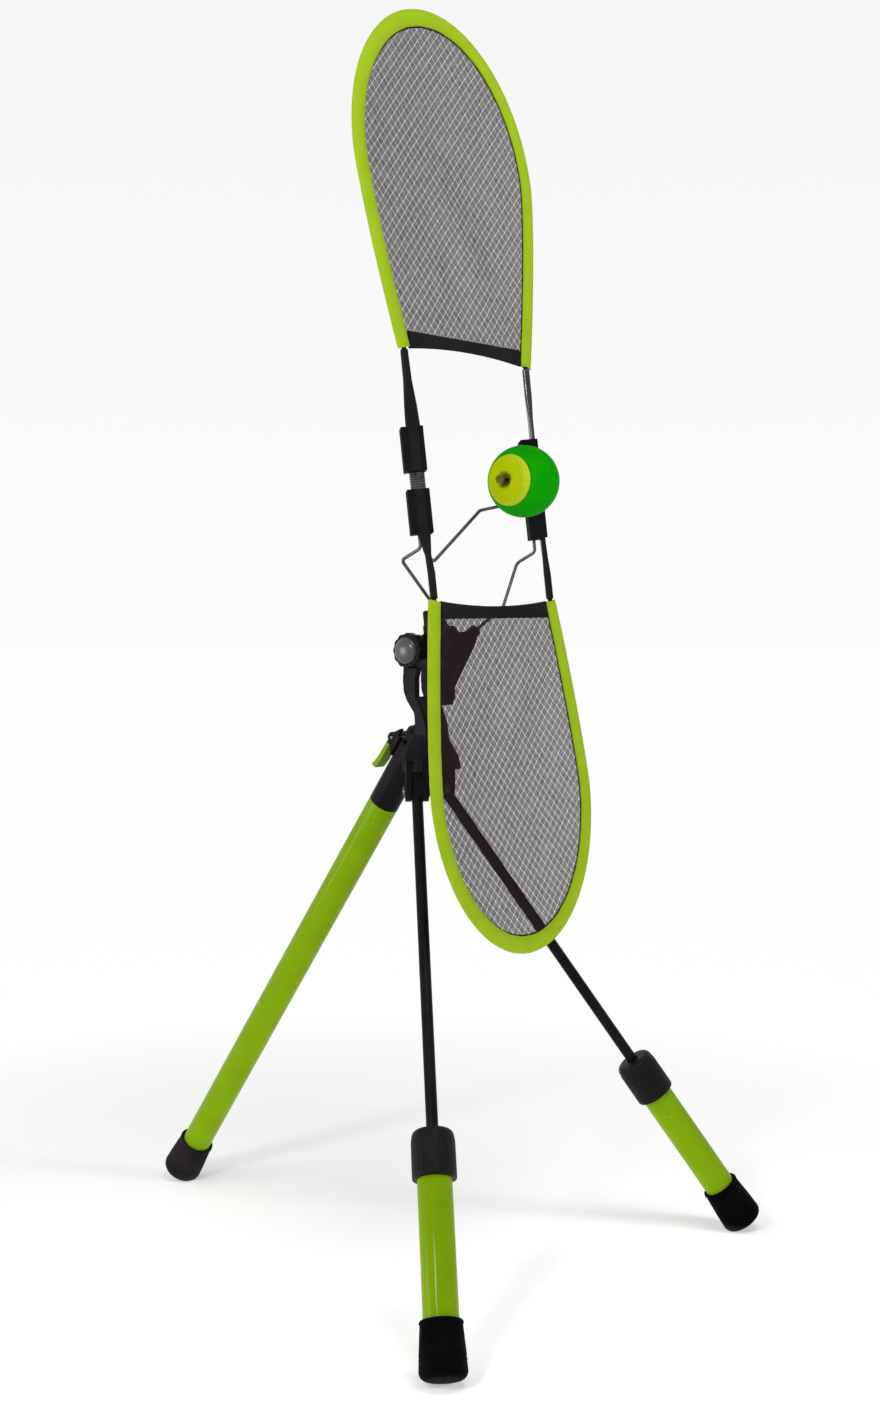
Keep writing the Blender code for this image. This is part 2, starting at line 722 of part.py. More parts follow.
def arm_path(side):
    grip = upright_point(side, ARM_SOCKET_A, SOCKET_B, CLIP_LOW + ARM_GRIP)
    foot = upright_point(side, ARM_SOCKET_A, SOCKET_B, CLIP_LOW - ARM_DROP)
    bend = Vector((side * ARM_BEND_X, SCREEN_Y + ARM_BEND_OFFSET, ARM_BEND_RISE))
    knee = Vector((side * ARM_KNEE_X, SCREEN_Y + ARM_KNEE_OFFSET, ARM_KNEE_RISE))
    tip = Vector((side * ARM_ROOT_X, ARM_ROOT_BACK, ARM_ROOT_RISE))
    inward = (tip - knee).normalized()
    end = tip + inward * PRONG_DEPTH
    return bent_path([grip, foot, bend, knee, end], [0.005, 0.005, 0.012])


def prong_axis(side):
    knee = Vector((side * ARM_KNEE_X, SCREEN_Y + ARM_KNEE_OFFSET, ARM_KNEE_RISE))
    tip = Vector((side * ARM_ROOT_X, ARM_ROOT_BACK, ARM_ROOT_RISE))
    return tip, (tip - knee).normalized()


def yoke_fan():
    """The front of the yoke: wide under the prongs and narrow at the tail."""
    levels = ((0.0112, 0.0185, -0.0552, -0.0424, 0.004),
              (-0.0020, 0.0170, -0.0510, -0.0370, 0.005),
              (-0.0150, 0.0130, -0.0440, -0.0290, 0.005),
              (-0.0280, 0.0100, -0.0360, -0.0210, 0.005),
              (-0.0400, 0.0080, -0.0280, -0.0135, 0.004),
              (-0.0480, 0.0080, -0.0275, -0.0120, 0.004),
              (-0.0550, 0.0070, -0.0240, -0.0130, 0.004))
    rings = []
    for height, half, low, high, corner in levels:
        rings.append([Vector((x, y, height)) for x, y in rounded_box(half, low, high, corner)])
    return loft(rings, "fan")


def yoke_web():
    """Side view of the middle of the yoke: the eye, the tab above it and the web to the fan."""
    eye = arc((0.0, 0.0), EYE_R, -150, 100, 12)
    tab = [(-0.0085, 0.0150), (-0.0085, 0.0220), (-0.0100, 0.0235), (-0.0100, 0.0350), (-0.0115, 0.0365),
           (-0.0205, 0.0365), (-0.0220, 0.0350), (-0.0220, 0.0210)]
    web = [(-0.0300, 0.0120), (-0.0470, 0.0100), (-0.0420, -0.0150), (-0.0250, -0.0330)]
    return eye + tab + web


def add_yoke(head):
    half = CHEEK_INNER - SEAT_GAP
    yoke = piece("tilt_yoke", prism(yoke_web(), -half, half), head, "black_plastic")
    join(yoke, yoke_fan())
    for side in (-1, 1):
        tip, inward = prong_axis(side)
        turned = inward.to_track_quat("Z", "Y").to_matrix().to_4x4()
        place = Matrix.Translation(tip) @ turned
        join(yoke, cylinder(PRONG_R, 0.0, 0.026, SMALL_ROUND, 0.001), place)
    for side in (-1, 1):
        tip, inward = prong_axis(side)
        turned = inward.to_track_quat("Z", "Y").to_matrix().to_4x4()
        place = Matrix.Translation(tip) @ turned
        bore = cylinder(WIRE_R + WIRE_GAP, -0.01, PRONG_DEPTH + SEAT_GAP, SMALL_ROUND)
        cut(yoke, bore, place, "MANIFOLD")
    cut(yoke, cylinder(BOLT_R + BORE_GAP, -0.03, 0.03, SMALL_ROUND), ALONG_X, "MANIFOLD")


def knob_outline():
    outline = []
    count = KNOB_FLUTES * 4
    for step in range(count):
        angle = 2 * math.pi * step / count
        radius = KNOB_R - KNOB_FLUTE_DEPTH * (0.5 - 0.5 * math.cos(KNOB_FLUTES * angle))
        outline.append((radius * math.cos(angle), radius * math.sin(angle)))
    return outline


def add_tilt_bolt(root, knob_frame):
    outer = CHEEK_INNER + CHEEK_WIDTH + SEAT_GAP
    place = move(y=PIVOT_BACK, z=PIVOT_RISE) @ ALONG_X
    end = -outer - KNOB_WIDTH + 0.004
    cap = outer + BOLT_HEAD_HEIGHT
    profile = [(0.0, end), (BOLT_R - 0.0005, end), (BOLT_R, end + 0.0005), (BOLT_R, outer),
               (BOLT_HEAD_R, outer), (BOLT_HEAD_R, cap - 0.0015), (BOLT_HEAD_R - 0.0015, cap), (0.0, cap)]
    piece("tilt_bolt", lathe(profile, SMALL_ROUND), root, "steel", place)

    near = -outer
    far = -outer - KNOB_WIDTH
    knob = piece("tilt_knob", prism(knob_outline(), far, near), knob_frame, "black_plastic")
    cut(knob, cylinder(BOLT_R + BORE_GAP, far + 0.0037, near + 0.01, SMALL_ROUND), ALONG_X)
    recess = cylinder(KNOB_CAP_R + BORE_GAP, far - 0.01, far + 0.0015)
    cut(knob, recess, ALONG_X)
    seat = far + 0.0015 - SEAT_GAP
    dome = [(0.0, seat), (KNOB_CAP_R, seat), (KNOB_CAP_R, far - 0.0005)]
    for step in range(1, 5):
        angle = math.radians(90 * step / 5)
        dome.append((KNOB_CAP_R * math.cos(angle), far - 0.0005 - KNOB_CAP_DOME * math.sin(angle)))
    dome.append((0.0, far - 0.0005 - KNOB_CAP_DOME))
    piece("tilt_knob_cap", lathe(dome), knob_frame, "grey_plastic", ALONG_X)


def clip_outline():
    """Section of a clip: a block behind the tang, with a lip round each of its edges."""
    half = TANG_WIDTH / 2 + SEAT_GAP
    face = TANG_THICK / 2 + SEAT_GAP
    hook = 0.0014
    left = -CLIP_OUTER
    right = CLIP_INNER
    return [(left, CLIP_DEPTH), (left, -face - CLIP_LIP), (-half + hook, -face - CLIP_LIP),
            (-half + hook, -face), (-half, -face), (-half, face), (half, face), (half, -face),
            (half - hook, -face), (half - hook, -face - CLIP_LIP), (right, -face - CLIP_LIP),
            (right, CLIP_DEPTH)]


def link_outline(grow, width, depth):
    return [(a, LINK_CENTRE_B + b) for a, b in rounded_box(width / 2 + grow, -depth / 2 - grow,
                                                           depth / 2 + grow, 0.0015, 2)]


def add_clips(head, side, name):
    low = CLIP_LOW
    middle = low + CLIP_HEIGHT
    upper = middle + LINK_HEIGHT
    spigot_wide = LINK_WIDTH - 0.006
    spigot_deep = LINK_DEPTH - 0.004
    for label, start, edge, hand in (("lower", low, middle, 1), ("upper", upper, upper, -1)):
        clip = piece(f"{name}_{label}_clip", upright_block(side, clip_outline(), start, start + CLIP_HEIGHT),
                     head, "black_plastic")
        reach = LINK_SPIGOT + SEAT_GAP
        if hand > 0:
            pocket = upright_block(side, link_outline(BORE_GAP, spigot_wide, spigot_deep), edge - reach,
                                   edge + 0.005)
        else:
            pocket = upright_block(side, link_outline(BORE_GAP, spigot_wide, spigot_deep), edge - 0.005,
                                   edge + reach)
        cut(clip, pocket)
        if label == "lower":
            for along in (ARM_SOCKET_A, BALL_SOCKET_A):
                centre = upright_point(side, along, SOCKET_B, 0.0)
                hole = cylinder(WIRE_R + WIRE_GAP, low - 0.01, low + ARM_GRIP + SEAT_GAP, SMALL_ROUND)
                cut(clip, hole, Matrix.Translation(centre))
    body = piece(f"{name}_clip_link", upright_block(side, link_outline(0.0, LINK_WIDTH, LINK_DEPTH),
                                                    middle + SEAT_GAP, upper - SEAT_GAP),
                 head, "grey_plastic")
    join(body, upright_block(side, link_outline(0.0, spigot_wide, spigot_deep), middle - LINK_SPIGOT,
                             upper + LINK_SPIGOT))


# Screens

class Screen:
    """One screen: where it starts, which way it runs, and its outline."""

    def __init__(self, name, start, direction, end_half, max_half, forward=0.0):
        self.name = name
        self.start = start
        self.direction = direction
        self.forward = forward
        self.end_half = end_half - BINDING_WIDTH / 2
        self.max_half = max_half - BINDING_WIDTH / 2
        self.length = SCREEN_LENGTH - BINDING_WIDTH / 2

    def half_width(self, along):
        """Half width to the middle of the binding: a flare, then a quarter of an ellipse."""
        if along < SCREEN_WIDEST:
            left = 1.0 - along / SCREEN_WIDEST
            return self.max_half - (self.max_half - self.end_half) * left ** FLARE
        part = min((along - SCREEN_WIDEST) / (self.length - SCREEN_WIDEST), 1.0)
        return self.max_half * math.sqrt(max(1.0 - part * part, 0.0))

    def outline(self, steps=HOOP_STEPS):
        """Middle line of the binding from one open end round to the other."""
        flare = steps // 3
        half = []
        for step in range(flare):
            along = SCREEN_WIDEST * step / flare
            half.append((self.half_width(along), along))
        rest = steps - flare
        for step in range(rest + 1):
            angle = math.pi / 2 * step / rest
            along = SCREEN_WIDEST + (self.length - SCREEN_WIDEST) * math.sin(angle)
            half.append((self.max_half * math.cos(angle), along))
        left = [(-x, along) for x, along in half]
        right = [(x, along) for x, along in reversed(half[:-1])]
        return left + right

    def point(self, x, along, back=0.0):
        return Vector((x, SCREEN_Y - self.forward + back, self.start + self.direction * along))


def outline_frames(path):
    """Each outline point with its outward direction in the plane of the screen."""
    frames = []
    for index, (x, along) in enumerate(path):
        before = path[max(index - 1, 0)]
        after = path[min(index + 1, len(path) - 1)]
        run = (after[0] - before[0], after[1] - before[1])
        size = math.hypot(*run)
        frames.append((x, along, -run[1] / size, run[0] / size))
    return frames


def sweep_on_screen(screen, frames, section):
    rings = []
    for x, along, out_x, out_along in frames:
        rings.append([screen.point(x + out_x * wide, along + out_along * wide, thick)
                      for wide, thick in section])
    return loft(rings, "sweep")


def binding_section():
    """Fabric sleeve folded over the hoop, with a slit for the edge of the mesh."""
    wide = BINDING_WIDTH / 2
    thick = BINDING_THICK / 2
    slit = MESH_THICK / 2 + SEAT_GAP
    deep = -wide + MESH_TUCK + SEAT_GAP
    return [(-wide, slit), (-wide + 0.001, thick * 0.55), (-wide * 0.25, thick), (wide * 0.7, thick * 0.85),
            (wide, 0.0), (wide * 0.7, -thick * 0.85), (-wide * 0.25, -thick), (-wide + 0.001, -thick * 0.55),
            (-wide, -slit), (deep, -slit), (deep, slit)]


def hoop_ring(radius, sides=WIRE_SIDES, offset=0.0):
    ring = []
    for step in range(sides):
        angle = 2 * math.pi * step / sides
        ring.append((offset + radius * math.cos(angle), radius * math.sin(angle)))
    return ring


def add_binding(head, screen):
    frames = outline_frames(screen.outline())
    name = f"{screen.name}_binding"
    binding = piece(name, sweep_on_screen(screen, frames, binding_section()), head, "lime_fabric")
    longer = [(x, along, ox, oa) for x, along, ox, oa in frames]
    first = longer[0]
    last = longer[-1]
    run = 0.004
    longer.insert(0, (first[0] - first[3] * run, first[1] + first[2] * run, first[2], first[3]))
    longer.append((last[0] + last[3] * run, last[1] - last[2] * run, last[2], last[3]))
    cut(binding, sweep_on_screen(screen, longer, hoop_ring(HOOP_R + WIRE_GAP)))


def add_hoop(head, screen, tail):
    frames = outline_frames(screen.outline())
    path = [screen.point(x, along) for x, along, _, _ in frames]
    start = screen.point(-screen.end_half, -tail)
    end = screen.point(screen.end_half, -tail)
    piece(f"{screen.name}_hoop", round_wire([start] + path + [end], HOOP_R, HOOP_SIDES), head,
          "black_metal")


def thicken(front, back, faces):
    """Closed body between the two sides of a sheet, with a wall along every free edge."""
    count = len(front)
    edges = {(face[i - 1], face[i]) for face in faces for i in range(len(face))}
    walls = [(b, a, a + count, b + count) for a, b in sorted(edges) if (b, a) not in edges]
    behind = [tuple(index + count for index in reversed(face)) for face in faces]
    return build_mesh("sheet", front + back, faces + behind + walls)


def fill_between(low, high):
    """Triangles between two chains of (x, index) with the same ends, both from left to right."""
    faces = []
    i = 0
    j = 0
    while i < len(low) - 1 or j < len(high) - 1:
        if i < len(low) - 1 and (j == len(high) - 1 or low[i + 1][0] <= high[j + 1][0]):
            face = (low[i][1], low[i + 1][1], high[j][1])
            i += 1
        else:
            face = (low[i][1], high[j + 1][1], high[j][1])
            j += 1
        if len(set(face)) == 3:
            faces.append(face)
    return faces


def width_at(chain, along):
    """Half width of the mesh at a height, from its edge points."""
    for (wide, low), (narrow, high) in zip(chain, chain[1:]):
        if along <= high:
            return wide + (narrow - wide) * (along - low) / (high - low)
    return chain[-1][0]


def net_lines():
    """Where the bars of the net start and end: across as shares of its width, and along in metres."""
    step = 2 / NET_COLUMNS
    shares = [-1.0]
    for column in range(NET_COLUMNS):
        shares += [-1 + (column + NET_BAR / 2) * step, -1 + (column + 1 - NET_BAR / 2) * step]
    shares.append(1.0)
    pitch = (NET_TOP - HEM_HEIGHT) / NET_ROWS
    heights = [HEM_HEIGHT * 0.35, HEM_HEIGHT]
    for row in range(NET_ROWS):
        heights += [HEM_HEIGHT + (row + NET_BAR) * pitch, HEM_HEIGHT + (row + 1) * pitch]
    return shares, heights


def add_mesh(head, screen):
    """Net held in the slit of the binding: flat bars with open gaps, crowned a little to the back."""
    inset = BINDING_WIDTH / 2 - MESH_TUCK
    edge = [(abs(x - ox * inset), along - oa * inset) for x, along, ox, oa in outline_frames(screen.outline())]
    edge = edge[:len(edge) // 2 + 1]
    shares, heights = net_lines()
    places = []
    for along in heights:
        rise = max(along - HEM_HEIGHT, 0.0) / (screen.length - HEM_HEIGHT)
        for share in shares:
            crown = MESH_CROWN * (1 - share * share) * math.sin(math.pi * rise)
            places.append((width_at(edge, along) * share, along, crown))
    count = len(shares)
    faces = []
    for row in range(len(heights) - 1):
        for column in range(count - 1):
            gap_row = row > 0 and row % 2 == 0
            if not (gap_row and column % 2):
                a = row * count + column
                faces.append((a, a + 1, a + 1 + count, a + count))
    last = len(places) - count
    low = [(places[index][0], index) for index in range(last, len(places))]
    tip = [(-wide, along, 0.0) for wide, along in edge if along > heights[-1]]
    tip += [(-x, along, 0.0) for x, along, _ in reversed(tip[:-1])]
    high = [low[0]] + [(place[0], len(places) + index) for index, place in enumerate(tip)] + [low[-1]]
    faces += fill_between(low, high)
    places += tip
    front = [screen.point(x, along, crown - MESH_THICK / 2) for x, along, crown in places]
    back = [screen.point(x, along, crown + MESH_THICK / 2) for x, along, crown in places]
    piece(f"{screen.name}_mesh", thicken(front, back, faces), head, "dark_mesh")


def add_hem(head, screen, steps=12):
    """Band folded over the open edge of the mesh, bowed towards the screen in the middle."""
    inset = BINDING_WIDTH / 2 + SEAT_GAP
    half = screen.half_width(0.0) - inset
    thick = HEM_THICK / 2
    slit = MESH_THICK / 2 + SEAT_GAP
    bottom = HEM_HEIGHT * 0.35 - SEAT_GAP
    rings = []
    for step in range(steps + 1):
        share = 2 * step / steps - 1
        bow = HEM_BOW * (1 - share * share)
        reach = half
        low = min(bow, bottom - 0.0005)
        section = [(low, -thick * 0.7), (low, thick * 0.7), (HEM_HEIGHT, thick), (HEM_HEIGHT, slit),
                   (bottom, slit), (bottom, -slit), (HEM_HEIGHT, -slit), (HEM_HEIGHT, -thick)]
        rings.append([screen.point(reach * share, along, back) for along, back in section])
    piece(f"{screen.name}_hem", loft(rings, "hem"), head, "black_fabric")


def tang_rings(side, screen, levels):
    """Sections of a tang. Each level is a height, half sizes and its share of the way to the hoop."""
    shift = Vector((side * (screen.end_half - UPRIGHT_X), -screen.forward, 0.0))
    rings = []
    for height, wide, thick, share in levels:
        outline = rounded_box(wide, -thick, thick, min(wide, thick) * 0.6, 2)
        rings.append([upright_point(side, a, b, height) + shift * share for a, b in outline])
    return rings


def add_tang(head, side, name, screen, levels):
    """The flat end of a hoop: it lies in its clip and narrows to the round hoop."""
    tang = piece(name, loft(tang_rings(side, screen, levels)), head, "black_plastic")
    tip = screen.start - screen.direction * TANG_CLEAR
    deep = tip - screen.direction * TANG_SOCKET
    out = tip + screen.direction * 0.01
    bore = cylinder(HOOP_R + WIRE_GAP, min(deep, out), max(deep, out), SMALL_ROUND)
    cut(tang, bore, Matrix.Translation(screen.point(side * screen.end_half, -screen.start * screen.direction)))


def add_tangs(head, side, name, upper, lower):
    half = TANG_WIDTH / 2
    flat = TANG_THICK / 2
    clip_top = CLIP_LOW + 2 * CLIP_HEIGHT + LINK_HEIGHT
    tip = TANG_TIP
    levels = [(CLIP_LOW + CLIP_HEIGHT + LINK_HEIGHT, half, flat, 0.0), (clip_top + 0.002, half, flat, 0.0),
              (clip_top + 0.019, half * 0.88, flat, 0.25), (clip_top + 0.042, tip * 1.15, tip, 0.7),
              (upper.start - TANG_CLEAR, tip, tip, 1.0)]
    add_tang(head, side, f"{name}_upper_tang", upper, levels)
    levels = [(lower.start + TANG_CLEAR, tip, tip, 1.0), (lower.start + TANG_CLEAR + TANG_SOCKET, tip, tip, 1.0),
              (CLIP_LOW - 0.020, tip * 0.85, tip * 0.8, 0.6), (CLIP_LOW - 0.003, half * 0.85, flat, 0.1),
              (CLIP_LOW + 0.003, half, flat, 0.0), (CLIP_LOW + CLIP_HEIGHT, half, flat, 0.0)]
    add_tang(head, side, f"{name}_lower_tang", lower, levels)


# Ball

def add_ball(wire_frame, ball_frame):
    """The ball turns on the straight end of its wire, which lies along X."""
    centre = Vector((0.0, SCREEN_Y - BALL_OFFSET, BALL_RISE))
    grip = upright_point(-1, BALL_SOCKET_A, SOCKET_B, CLIP_LOW + ARM_GRIP)
    drop = upright_point(-1, BALL_SOCKET_A, SOCKET_B, CLIP_LOW - 0.028)
    corners = [grip, drop, Vector((-0.0048, SCREEN_Y, BALL_RISE - 0.0190)),
               Vector((0.0280, SCREEN_Y, BALL_RISE - 0.0135)),
               Vector((BALL_WIRE_SIDE, centre.y + 0.024, BALL_RISE - 0.006)),
               Vector((BALL_WIRE_SIDE, centre.y, BALL_RISE)),
               Vector((-BALL_WIRE_TIP, centre.y, BALL_RISE))]
    origin = wire_frame.matrix_basis.to_translation()
    path = [point - origin for point in bent_path(corners, [0.0045, 0.010, 0.012, 0.008, 0.008])]
    piece("ball_wire", round_wire(path, WIRE_R), wire_frame, "steel")

    flat_r = math.sqrt(BALL_R ** 2 - BALL_CUT ** 2)
    bore = BUSH_R + BORE_GAP
    limit = math.degrees(math.acos(BALL_CUT / BALL_R))
    profile = [(bore, -BALL_CUT), (bore, BALL_CUT)]
    for height, radius in arc((0.0, 0.0), BALL_R, limit, 180 - limit, 9):
        profile.append((radius, height))
    piece("ball_core", lathe(profile), ball_frame, "green_foam", ALONG_X)
    for hand, label in ((-1, "near"), (1, "far")):
        base = BALL_CUT + SEAT_GAP
        rim = flat_r - 0.0006
        dome = [(bore, base), (rim, base), (rim, base + 0.0016)]
        hole = math.degrees(math.asin(CAP_HOLE_R / rim))
        for step in range(1, 6):
            radius = rim * math.cos(math.radians(90 - hole) * step / 5)
            height = base + 0.0016 + (CAP_DOME - 0.0016) * math.sin(math.radians(90 - hole) * step / 5)
            dome.append((radius, height))
        dome.append((CAP_HOLE_R, base + 0.004))
        dome.append((bore, base + 0.004))
        profile = [(radius, hand * height) for radius, height in dome]
        piece(f"ball_{label}_cap", lathe(profile), ball_frame, "yellow_foam", ALONG_X)
    half = BALL_CUT + 0.004
    piece("ball_bush", tube(BUSH_R, WIRE_R + WIRE_GAP, -half, half, SMALL_ROUND), ball_frame,
          "grey_plastic", ALONG_X)
    near = half + 0.0006
    far_ring = tube(RETAINER_R, WIRE_R + BORE_GAP, near, near + RETAINER_LENGTH, SMALL_ROUND)
    to_ball = Matrix.Translation(centre - origin)
    piece("ball_wire_collar", far_ring, wire_frame, "steel", to_ball @ ALONG_X)
    tip = BALL_WIRE_TIP
    cap = [(0.0, -tip - 0.0015), (RETAINER_R - 0.001, -tip - 0.0015), (RETAINER_R, -tip - 0.0005),
           (RETAINER_R, -tip + RETAINER_LENGTH), (WIRE_R + BORE_GAP, -tip + RETAINER_LENGTH),
           (WIRE_R + BORE_GAP, -tip - SEAT_GAP), (0.0, -tip - SEAT_GAP)]
    piece("ball_wire_cap", lathe(cap, SMALL_ROUND), wire_frame, "black_plastic", to_ball @ ALONG_X)


def add_head(root):
    head = empty("head_tilt", root, move(y=PIVOT_BACK, z=PIVOT_RISE) @ turn(-LEAN, "X"))
    knob_frame = empty("tilt_knob_turn", root, move(y=PIVOT_BACK, z=PIVOT_RISE))
    add_yoke(head)
    add_tilt_bolt(root, knob_frame)
    upper = Screen("upper", SCREEN_LOW + SCREEN_GAP, 1, UPPER_END_HALF, UPPER_MAX_HALF)
    lower = Screen("lower", SCREEN_LOW, -1, LOWER_END_HALF, LOWER_MAX_HALF, LOWER_FORWARD)
    for side, name in ((-1, "left"), (1, "right")):
        piece(f"{name}_arm", round_wire(arm_path(side), WIRE_R), head, "steel")
        add_clips(head, side, name)
        add_tangs(head, side, name, upper, lower)
    for screen in (upper, lower):
        add_binding(head, screen)
        add_hoop(head, screen, TANG_CLEAR + TANG_SOCKET - SEAT_GAP)
        add_mesh(head, screen)
        add_hem(head, screen)
    flex = upright_point(-1, BALL_SOCKET_A, SOCKET_B, CLIP_LOW)
    wire_frame = empty("ball_wire_flex", head, Matrix.Translation(flex))
    centre = Vector((0.0, SCREEN_Y - BALL_OFFSET, BALL_RISE))
    ball_frame = empty("ball_spin", wire_frame, Matrix.Translation(centre - flex))
    add_ball(wire_frame, ball_frame)


def build():
    clear_scene()
    back = foot_overhang(math.sin(LEG_SPREAD))
    front = foot_overhang(math.sin(LEG_SPREAD) * math.cos(FRONT_TOE))
    root = empty("trainer", None, move(y=(front - back) / 2, z=-FLOOR))
    add_crown(root)
    add_post(root)
    add_rear_leg(root)
    for side, name in ((-1, "left"), (1, "right")):
        add_front_leg(root, side, name)
    add_head(root)


build()
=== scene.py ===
"""Tennis topspin trainer, dressed for the photograph.

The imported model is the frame. Each piece here is a finer form of one of its
solids, in metres and in the same place, and rides on that solid's body.

Sections: sizes, nodes and looks, mesh helpers, frames, tripod, head, screens,
ball, and the floor, lights and camera.
"""
import json
import math

import bmesh
import bpy
import numpy as np
from mathutils import Matrix, Vector, noise

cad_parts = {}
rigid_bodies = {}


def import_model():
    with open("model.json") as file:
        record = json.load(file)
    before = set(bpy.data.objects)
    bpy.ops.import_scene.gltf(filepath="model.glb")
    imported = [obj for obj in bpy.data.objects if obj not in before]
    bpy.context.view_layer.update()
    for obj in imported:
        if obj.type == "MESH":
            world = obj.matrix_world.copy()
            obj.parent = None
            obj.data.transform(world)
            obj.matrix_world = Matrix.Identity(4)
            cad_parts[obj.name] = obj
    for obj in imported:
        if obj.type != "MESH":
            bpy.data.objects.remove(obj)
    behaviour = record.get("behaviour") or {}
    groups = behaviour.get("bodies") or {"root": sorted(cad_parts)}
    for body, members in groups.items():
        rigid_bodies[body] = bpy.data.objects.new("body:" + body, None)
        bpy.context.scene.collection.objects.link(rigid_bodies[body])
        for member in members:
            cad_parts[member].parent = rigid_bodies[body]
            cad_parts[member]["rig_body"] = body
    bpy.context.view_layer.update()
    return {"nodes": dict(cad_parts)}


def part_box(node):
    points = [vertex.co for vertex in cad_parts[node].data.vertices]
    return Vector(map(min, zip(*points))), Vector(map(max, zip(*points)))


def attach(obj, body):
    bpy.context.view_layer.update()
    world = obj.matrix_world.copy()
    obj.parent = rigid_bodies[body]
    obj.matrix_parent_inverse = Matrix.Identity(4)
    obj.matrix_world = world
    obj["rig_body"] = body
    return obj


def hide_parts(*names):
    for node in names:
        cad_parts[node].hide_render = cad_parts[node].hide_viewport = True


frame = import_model()

# Fits
SEAT_GAP = 0.0003
SLIP = 0.00015

# Tripod
LEG_SPREAD = math.radians(34.7)
FRONT_TOE = math.radians(46.5)
LEG_REACH = 0.587
TUBE_R = 0.01515
TUBE_WALL = 0.0016
FOOT_TOP_R = 0.0185
FOOT_R = 0.0202
FOOT_EDGE = 0.007
FOOT_LENGTH = 0.0465
FOOT_FLOOR = 0.012
FOOT_GROOVES = (0.0285, 0.0325)
FOOT_CUT = 0.00001
ROD_R = 0.0053
ROD_WALL = 0.0013
ROD_TOP = 0.0598
LOCK_TOP = 0.3815
LOCK_LENGTH = 0.0425
LOCK_R = 0.0193
LOCK_DOME = 0.006
LOCK_WEB = 0.012
LOCK_FLUTES = 24
LOCK_FLUTE_DEPTH = 0.00045
ROD_OVERLAP = 0.0745
COLLAR_END = 0.069
POST_R = 0.011
POST_WALL = 0.0015
POST_TOP = 0.0117
POST_END = 0.3
LEVER_PIN_OUT = 0.0215
LEVER_PIN_DROP = 0.004
LEVER_HUB = 0.01

# Tilt joint
PIVOT_BACK = -0.0121
PIVOT_RISE = 0.094
LEAN = math.radians(7.58)
KNOB_NEAR = 0.0173
KNOB_R = 0.017
KNOB_WIDTH = 0.0105
KNOB_FLUTES = 12
KNOB_FLUTE_DEPTH = 0.001
KNOB_BORE_R = 0.0042
KNOB_CAP_R = 0.0128
KNOB_CAP_DOME = 0.0055

# Arms and uprights
WIRE_R = 0.0016
ARM_CORNERS = ((0.02, -0.0497, 0.0135), (0.052, -0.0602, 0.0337), (0.088, -0.0558, 0.0775))
ARM_BENDS = (0.005, 0.005, 0.012)
PRONG_DEPTH = 0.016
SCREEN_Y = -0.0873
UPRIGHT_X = 0.091
CLIP_LOW = 0.097
CLIP_HEIGHT = 0.04
LINK_HEIGHT = 0.0165
LINK_WIDTH = 0.0135
LINK_DEPTH = 0.0095
LINK_CENTRE = 0.0076
LINK_RIBS = 7
LINK_RIB_DEPTH = 0.0007
ARM_DROP = 0.012
ARM_GRIP = 0.02
ARM_SOCKET = -0.0034
BALL_SOCKET = 0.004
SOCKET_DEEP = 0.0082

# Screens
SCREEN_LENGTH = 0.328
SCREEN_WIDEST = 0.178
FLARE = 1.33
BINDING_WIDTH = 0.016
HOOP_R = 0.0022
HOOP_TAIL = 0.0257
MESH_INSET = 0.0045
MESH_CROWN = 0.0035
HEM_HEIGHT = 0.016
HEM_THICK = 0.003
HEM_BOW = 0.0048
HEM_TUCK = 0.0056

# Sewing: thread, how far it sinks between stitches, and each seam's place and stitch
THREAD_R = 0.00026
STITCH_SINK = 0.0009
BINDING_SEAM = 0.0061
BINDING_STITCH = 0.0032
HEM_SEAM = 0.0022
HEM_STITCH = 0.003

# Net of the screens: two sets of slanting yarns that cross. Each repeat has one wider gap.
NET_REPEAT = (0.0098, 0.0051)
NET_YARNS = 5
NET_YARN = 0.0007
NET_GAP = 0.0015
NET_THICK = 0.00034
NET_STEP = 0.006
NET_EDGE = 0.0094

# Ball
BALL_R = 0.033
BALL_CUT = 0.021
BALL_CENTRE = (0.0, -0.137, 0.1399)
CAP_DOME = 0.0085
CAP_STEP = 0.0018
CAP_HOLE_R = 0.0046
BALL_BORE_R = 0.00435
BALL_WIRE_TIP = 0.0375
BALL_WIRE_SIDE = 0.046
BALL_WIRE_DROP = 0.028
BALL_WIRE_BENDS = (0.0045, 0.01, 0.012, 0.008, 0.008)

# Moulded copies: size of the grid that rounds the edges
FINE, SMALL, MIDDLE, COARSE = 0.0003, 0.0004, 0.0005, 0.0006

# Camera
CAMERA_PLACE = (-1.362, -1.1774, 0.6334)
CAMERA_HEADING = math.radians(-51.19)
CAMERA_DIP = math.radians(3.22)
CAMERA_LENS = 46.925

# Light. Each lamp has a place, a size, a power and whether gloss shows it
LIT_SIDE = (-0.83, 0.54, -0.1)
LAMP_AIM = (0.0, 0.0, 0.55)
LAMPS = {
    "key": ((0.85, -2.4, 0.95), (0.55, 0.45), 24.0, False),
    "side": ((-2.2, 1.5, 0.35), (1.2, 1.2), 26.0, True),
    "top": ((-0.35, -0.85, 1.95), (0.7, 0.7), 10.0, True),
    "window": ((-1.6, -0.43, 1.33), (0.22, 0.28), 9.0, True),
}

# Floor: its size and drop, and how far out the shadows fade and the white turns
FLOOR_R = 23.5
FLOOR_DROP = 0.0002
SHADOW_FADE = (0.42, 0.95)
WHITE_TURN = (1.2, 3.4)

